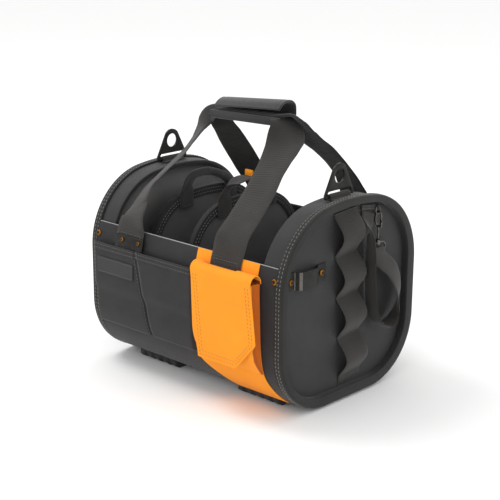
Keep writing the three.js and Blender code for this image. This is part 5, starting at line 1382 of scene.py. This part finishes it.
def build_anchor():
    low, high = node_box("tape_anchor")
    top_z = high[2] - 0.05
    lean = math.radians(-8)
    across = np.array([0, math.cos(lean), math.sin(lean)])
    down = np.array([0, math.sin(lean), -math.cos(lean)])
    corner = np.array([FACE_SEAT + ANCHOR_THICKNESS / 2, ANCHOR_RIGHT_Y, UPPER_CENTRE[1]])
    lip = UPPER_RADIUS - HOOP_IN - GAP - BINDING_THICKNESS
    corner[2] += math.sqrt(lip**2 - (ANCHOR_RIGHT_Y - UPPER_CENTRE[0]) ** 2) - 0.9
    rows = []
    for y in np.linspace(-34, 0, 8):
        centre = corner + across * y + down * 3.25
        rows.append({"centre": centre, "turn": 0, "tip": 90 - 8, "width": 6.5, "thickness": ANCHOR_THICKNESS})
    tape = flat_tape(rows, down)
    link_low, link_high = node_box("hook_link")
    link_x = (link_low[0] + link_high[0]) / 2
    link_top = link_high[2] - 1
    sleeve = plate([circle((0, 0), 2.5), circle((0, 0), 1.3)[::-1]], 5, 0.3, (link_x, LINK_Y, link_top), ((1, 0, 0), (0, 0, 1), (0, 1, 0)))
    make_piece("tape_tab", *merged(tape, sleeve), WEBBING, ["tape_anchor"])
    lines = []
    for depth in (1.4, 5.1):
        lines.append([corner + (ANCHOR_THICKNESS / 2, 0, 0) + across * y + down * depth for y in np.linspace(-33, -8, 10)])
    add_stitches("tape_tab_stitches", [stitch_row(line, (1, 0, 0)) for line in lines], DARK_THREAD)

    middle, tall, half, corner = (link_low[2] + link_high[2]) / 2, (link_high[2] - link_low[2]) / 2 - 1, 3.5, 1.2
    route = [
        (half, corner - tall), (half, tall - corner), (half - corner, tall), (corner - half, tall),
        (-half, tall - corner), (-half, corner - tall), (corner - half, -tall), (half - corner, -tall),
    ]
    points = [(link_x, LINK_Y + y, middle + z) for y, z in route]
    make_piece("tape_link", *wire(points, 1.0, step=0.4, closed=True), NICKEL, ["hook_link"])
    return link_x, link_low[2] + 1


def flat_tape(rows, down):
    """A short flat tape through rows, with soft edges."""
    centre = np.array([r["centre"] for r in rows])
    section = round_section([(-3.25, -1.2, 0.5), (3.25, -1.2, 0.5), (3.25, 1.2, 0.5), (-3.25, 1.2, 0.5)], steps=2)
    out = np.array([1.0, 0, 0])
    return loft(np.stack([centre + down * a + out * b for a, b in section], axis=1))


def build_hook(link_x, link_low_z):
    """A snap hook on the link's lower bar: eye and stem, sprung gate, and a swivel base that holds the tape."""
    wire_size, eye_width, eye_height, stem = 2.4, 8.0, 17.0, 18.0
    x = link_x - 1 - GAP - wire_size / 2 + eye_width / 2
    top = link_low_z + 1 + GAP + wire_size / 2
    bottom = top - eye_height
    half = eye_width / 2
    tip = top - eye_height * 0.42
    eye = [
        (half, tip), (half, top - eye_height * 0.22), (half * 0.7, top - eye_height * 0.06), (0, top),
        (-half * 0.7, top - eye_height * 0.06), (-half, top - eye_height * 0.22), (-half, top - eye_height * 0.8),
        (-half * 0.4, bottom - 1), (0, bottom - 4), (0, mix(bottom, bottom - stem, 0.6)), (0, bottom - stem),
    ]
    body = wire([(x + dx, LINK_Y, z) for dx, z in eye], wire_size / 2, step=0.4)
    knuckle = plate(
        [rounded_box(half + wire_size, wire_size, 0.7)], wire_size, 0.5,
        (x + (half + wire_size) / 2 - wire_size / 2, LINK_Y, bottom - wire_size / 2), ((1, 0, 0), (0, 0, 1), (0, 1, 0)),
    )
    make_piece("snap_hook", *merged(body, knuckle), NICKEL, ["hook_body"])

    width = 2.4
    pin_z = bottom + GAP + width / 2
    length = tip - 2 * GAP - pin_z
    blade = plate(
        [rounded_box(width, length + width / 2, 0.8)], width, 0.5,
        (x + half, LINK_Y, pin_z + (length - width / 2) / 2), ((1, 0, 0), (0, 0, 1), (0, 1, 0)),
    )
    thumb = plate(
        [rounded_box(width, width, 0.9)], width, 0.5, (x + half + width / 2, LINK_Y, pin_z + length / 2),
        ((1, 0, 0), (0, 0, 1), (0, 1, 0)),
    )
    make_piece("snap_gate", *merged(blade, thumb), NICKEL, ["hook_gate"], body="hook_gate")

    barrel_low = bottom - stem - GAP - 7
    base_low = barrel_low - 11 + 3
    profile = [(0, 0), (2.6, 0), (3.3, 0.5), (3.4, 1.2), (2.9, 2.0), (3.0, 5.0), (3.4, 5.8), (3.3, 6.5), (2.4, 7), (0, 7)]
    barrel = turned(profile, np.array([x, LINK_Y, barrel_low]), (0, 0, 1))
    loop = [
        (-0.75, 0), (0, -0.04), (0.75, 0), (1, 0.35), (0.8, 0.85), (0.4, 0.98), (0, 0.8), (-0.4, 0.98), (-0.8, 0.85), (-1, 0.35),
    ]
    ring = wire([(x, LINK_Y + y * 15, base_low + z * 11) for y, z in loop], 1.3, step=0.5, closed=True)
    make_piece("snap_base", *merged(barrel, ring), NICKEL, ["hook_base"])
    return x, base_low


def build_tape_loop(hook_x, base_low):
    """The tape comes off the face under its tab, hangs in a loop and ends over the hook's base."""
    tape_out, left_y, span, bottom = 13.4, 29.0, 62.0, 82.0
    lip = UPPER_RADIUS - HOOP_IN - GAP - BINDING_THICKNESS
    anchor_top = UPPER_CENTRE[1] + math.sqrt(lip**2 - (ANCHOR_RIGHT_Y - UPPER_CENTRE[0]) ** 2) - 0.9
    high = anchor_top - 6.5 - 0.5
    left = [  # out, y, z, turn
        (0.1, 0.14, 1, -90), (0.2, 0.1, 0.955, -84), (0.6, 0.03, 0.9, -60), (1, 0, 0.83, -30), (1.05, 0.02, 0.66, -20),
        (1, 0.05, 0.42, -18), (1, 0.12, 0.2, -12), (1, 0.28, 0.06, -6), (1.05, 0.52, 0, 0),
    ]
    right = [(1.1, 0.76, 0.05, -18), (1.1, 0.93, 0.22, -45), (1.05, 0.97, 0.45, -66), (0.9, 0.8, 0.7, -84)]
    rows = []
    for table, top in ((left, high), (right, base_low)):
        for out, y, z, turn in table:
            centre = (FACE_SEAT + out * tape_out, left_y + y * span, mix(bottom, top, z))
            rows.append({"centre": centre, "turn": turn, "width": 25, "thickness": 1.8})
    front_x = hook_x + (2.6 + 1.8) / 2 + 3 * GAP
    for rise in (-5, 5):
        rows.append({"centre": (front_x, LINK_Y, base_low + rise), "turn": -90, "width": 25, "thickness": 1.8})
    hung_tape(make_piece("hanging_tape", *ribbon(rows, rib=0.1, pitch=2.0), WEBBING, ["tape_loop"]), rows)


def build_feet():
    """Rubber feet with ribs across their outer face."""
    outer_y = WIDTH / 2 - LOWER_RADIUS
    outer_y += math.sqrt(LOWER_RADIUS**2 - (LOWER_CENTRE[1] - 13) ** 2)
    inner_y = outer_y - 30
    under = lambda y: LOWER_CENTRE[1] - math.sqrt(LOWER_RADIUS**2 - max(y - LOWER_CENTRE[0], 0) ** 2)
    knee = (under(outer_y) - GAP) * 0.45
    xs = np.linspace(-34, 34, 109)
    cell = 68 / 9
    for side_x, word_x in ((-1, "left"), (1, "right")):
        for side_y, word_y in ((-1, "front"), (1, "back")):
            sections = []
            for x in xs:
                phase = ((x + 34) / cell) % 2
                rib = 3.5 * float(smooth(phase, 0.9, 1.15) - smooth(phase, 1.85, 2.0))
                end = max(abs(x) - 33, 0) * 0.8
                corners = [
                    (inner_y + end, end, 0.8), (outer_y - 9 - rib - end, end, 2), (outer_y - rib - end, knee, 1.5),
                    (outer_y - end, under(outer_y) - GAP, 0.8),
                ]
                corners += [(y, under(y) - GAP, 0) for y in np.linspace(outer_y - 5, inner_y + end, 8)]
                section = round_section(corners)
                sections.append([(side_x * 91 + x, side_y * y, z) for y, z in section])
            name = f"foot_{word_y}_{word_x}"
            make_piece(f"rubber_{name}", *loft(sections), RUBBER, [name])


RIVET_PROFILE = [(0, 0), (1, 0), (1.02, 0.12), (0.97, 0.4), (0.84, 0.72), (0.7, 0.95), (0.56, 0.97), (0.46, 0.85), (0.4, 0.7), (0.2, 0.64), (0, 0.62)]


def rivet(name, node, point, normal, radius, height=2.0):
    profile = [(r * radius, h * height) for r, h in RIVET_PROFILE]
    point, normal = np.asarray(point, float), unit(np.asarray(normal, float))
    points, faces, uvs = turned(profile, point, normal)
    hollow = [i for i, f in enumerate(faces) if np.linalg.norm(np.cross(points[list(f)].mean(0) - point, normal)) < radius * 0.6]
    make_piece(name, points, faces, uvs, COPPER, [node], sharp=60, edge=(BLACK_METAL[0], hollow))


def build_rivets():
    for side, side_word in ((-1, "left"), (1, "right")):
        for face, face_word in ((-1, "front"), (1, "back")):
            point = on_front(side * (END_X - 14), 177.0, GAP)
            normal = front_normal(177.0)
            point[1] *= -face
            normal[1] *= -face
            rivet(f"corner_rivet_{face_word}_{side_word}", f"rivet_{face_word}_{side_word}", point, normal, 4.0)


def build_camera_and_light():
    camera = bpy.data.objects.new("camera", bpy.data.cameras.new("camera"))
    bpy.context.scene.collection.objects.link(camera)
    right = Vector((0.72991, 0.68351, 0.00657))
    up = Vector((-0.20445, 0.20914, 0.95627))
    forward = Vector((-0.65225, 0.69934, -0.2924))
    position = Vector(place((1107.1, -1187.0, 630.55)))
    camera.matrix_world = Matrix((
        (right.x, up.x, -forward.x, position.x),
        (right.y, up.y, -forward.y, position.y),
        (right.z, up.z, -forward.z, position.z),
        (0, 0, 0, 1),
    ))
    camera.data.sensor_width = 36
    camera.data.lens = 93.76
    camera.data.shift_x = -0.00235
    camera.data.shift_y = 0.0357
    camera.data.clip_end = 50
    bpy.context.scene.camera = camera
    bpy.context.scene.view_settings.view_transform = "Standard"

    world = bpy.data.worlds.new("studio")
    world.use_nodes = True
    world.node_tree.nodes["Background"].inputs["Color"].default_value = (1, 1, 1, 1)
    world.node_tree.nodes["Background"].inputs["Strength"].default_value = 1.0
    bpy.context.scene.world = world

    floor_mesh = bpy.data.meshes.new("floor")
    size = 6.0
    floor_mesh.from_pydata([(-size, -size, 0), (size, -size, 0), (size, size, 0), (-size, size, 0)], [], [(0, 1, 2, 3)])
    floor = bpy.data.objects.new("floor", floor_mesh)
    bpy.context.scene.collection.objects.link(floor)
    material, tree, shader = new_material("floor_paint", roughness=0.9, specular=0.1)
    shader.inputs["Base Color"].default_value = (0.95, 0.95, 0.945, 1)
    floor_mesh.materials.append(material)

    lights = [  # name, place, aims at, size, power
        ("key", (-1.3, -0.5, 2.3), (0, 0, 0.15), 1.2, 22),
        ("front", (0.9, -2.2, 1.4), (0, 0, 0.15), 1.4, 7),
        ("side", (2.2, 0.5, 1.6), (0, 0, 0.15), 1.2, 5),
    ]
    for name, spot, aim, width, power in lights:
        data = bpy.data.lights.new(name, "AREA")
        data.shape = "DISK"
        data.size = width
        data.energy = power
        lamp = bpy.data.objects.new(name, data)
        bpy.context.scene.collection.objects.link(lamp)
        lamp.location = spot
        lamp.rotation_euler = (Vector(aim) - Vector(spot)).to_track_quat("-Z", "Y").to_euler()


build_camera_and_light()
build_body()
build_rim_strips()
build_ends()
for number, (divider, divider_x) in enumerate(DIVIDER_X.items()):
    build_divider(divider, divider_x, number)
build_padded_handle()
build_web_handle()
build_straps()
build_wrap()
build_panel()
build_pouch()
build_flap()
build_pocket()
build_rings()
build_rivets()
build_bar_clip()
build_tape_clip()
build_tool_loops()
build_hook_parts = build_anchor()
build_tape_loop(*build_hook(*build_hook_parts))
build_feet()
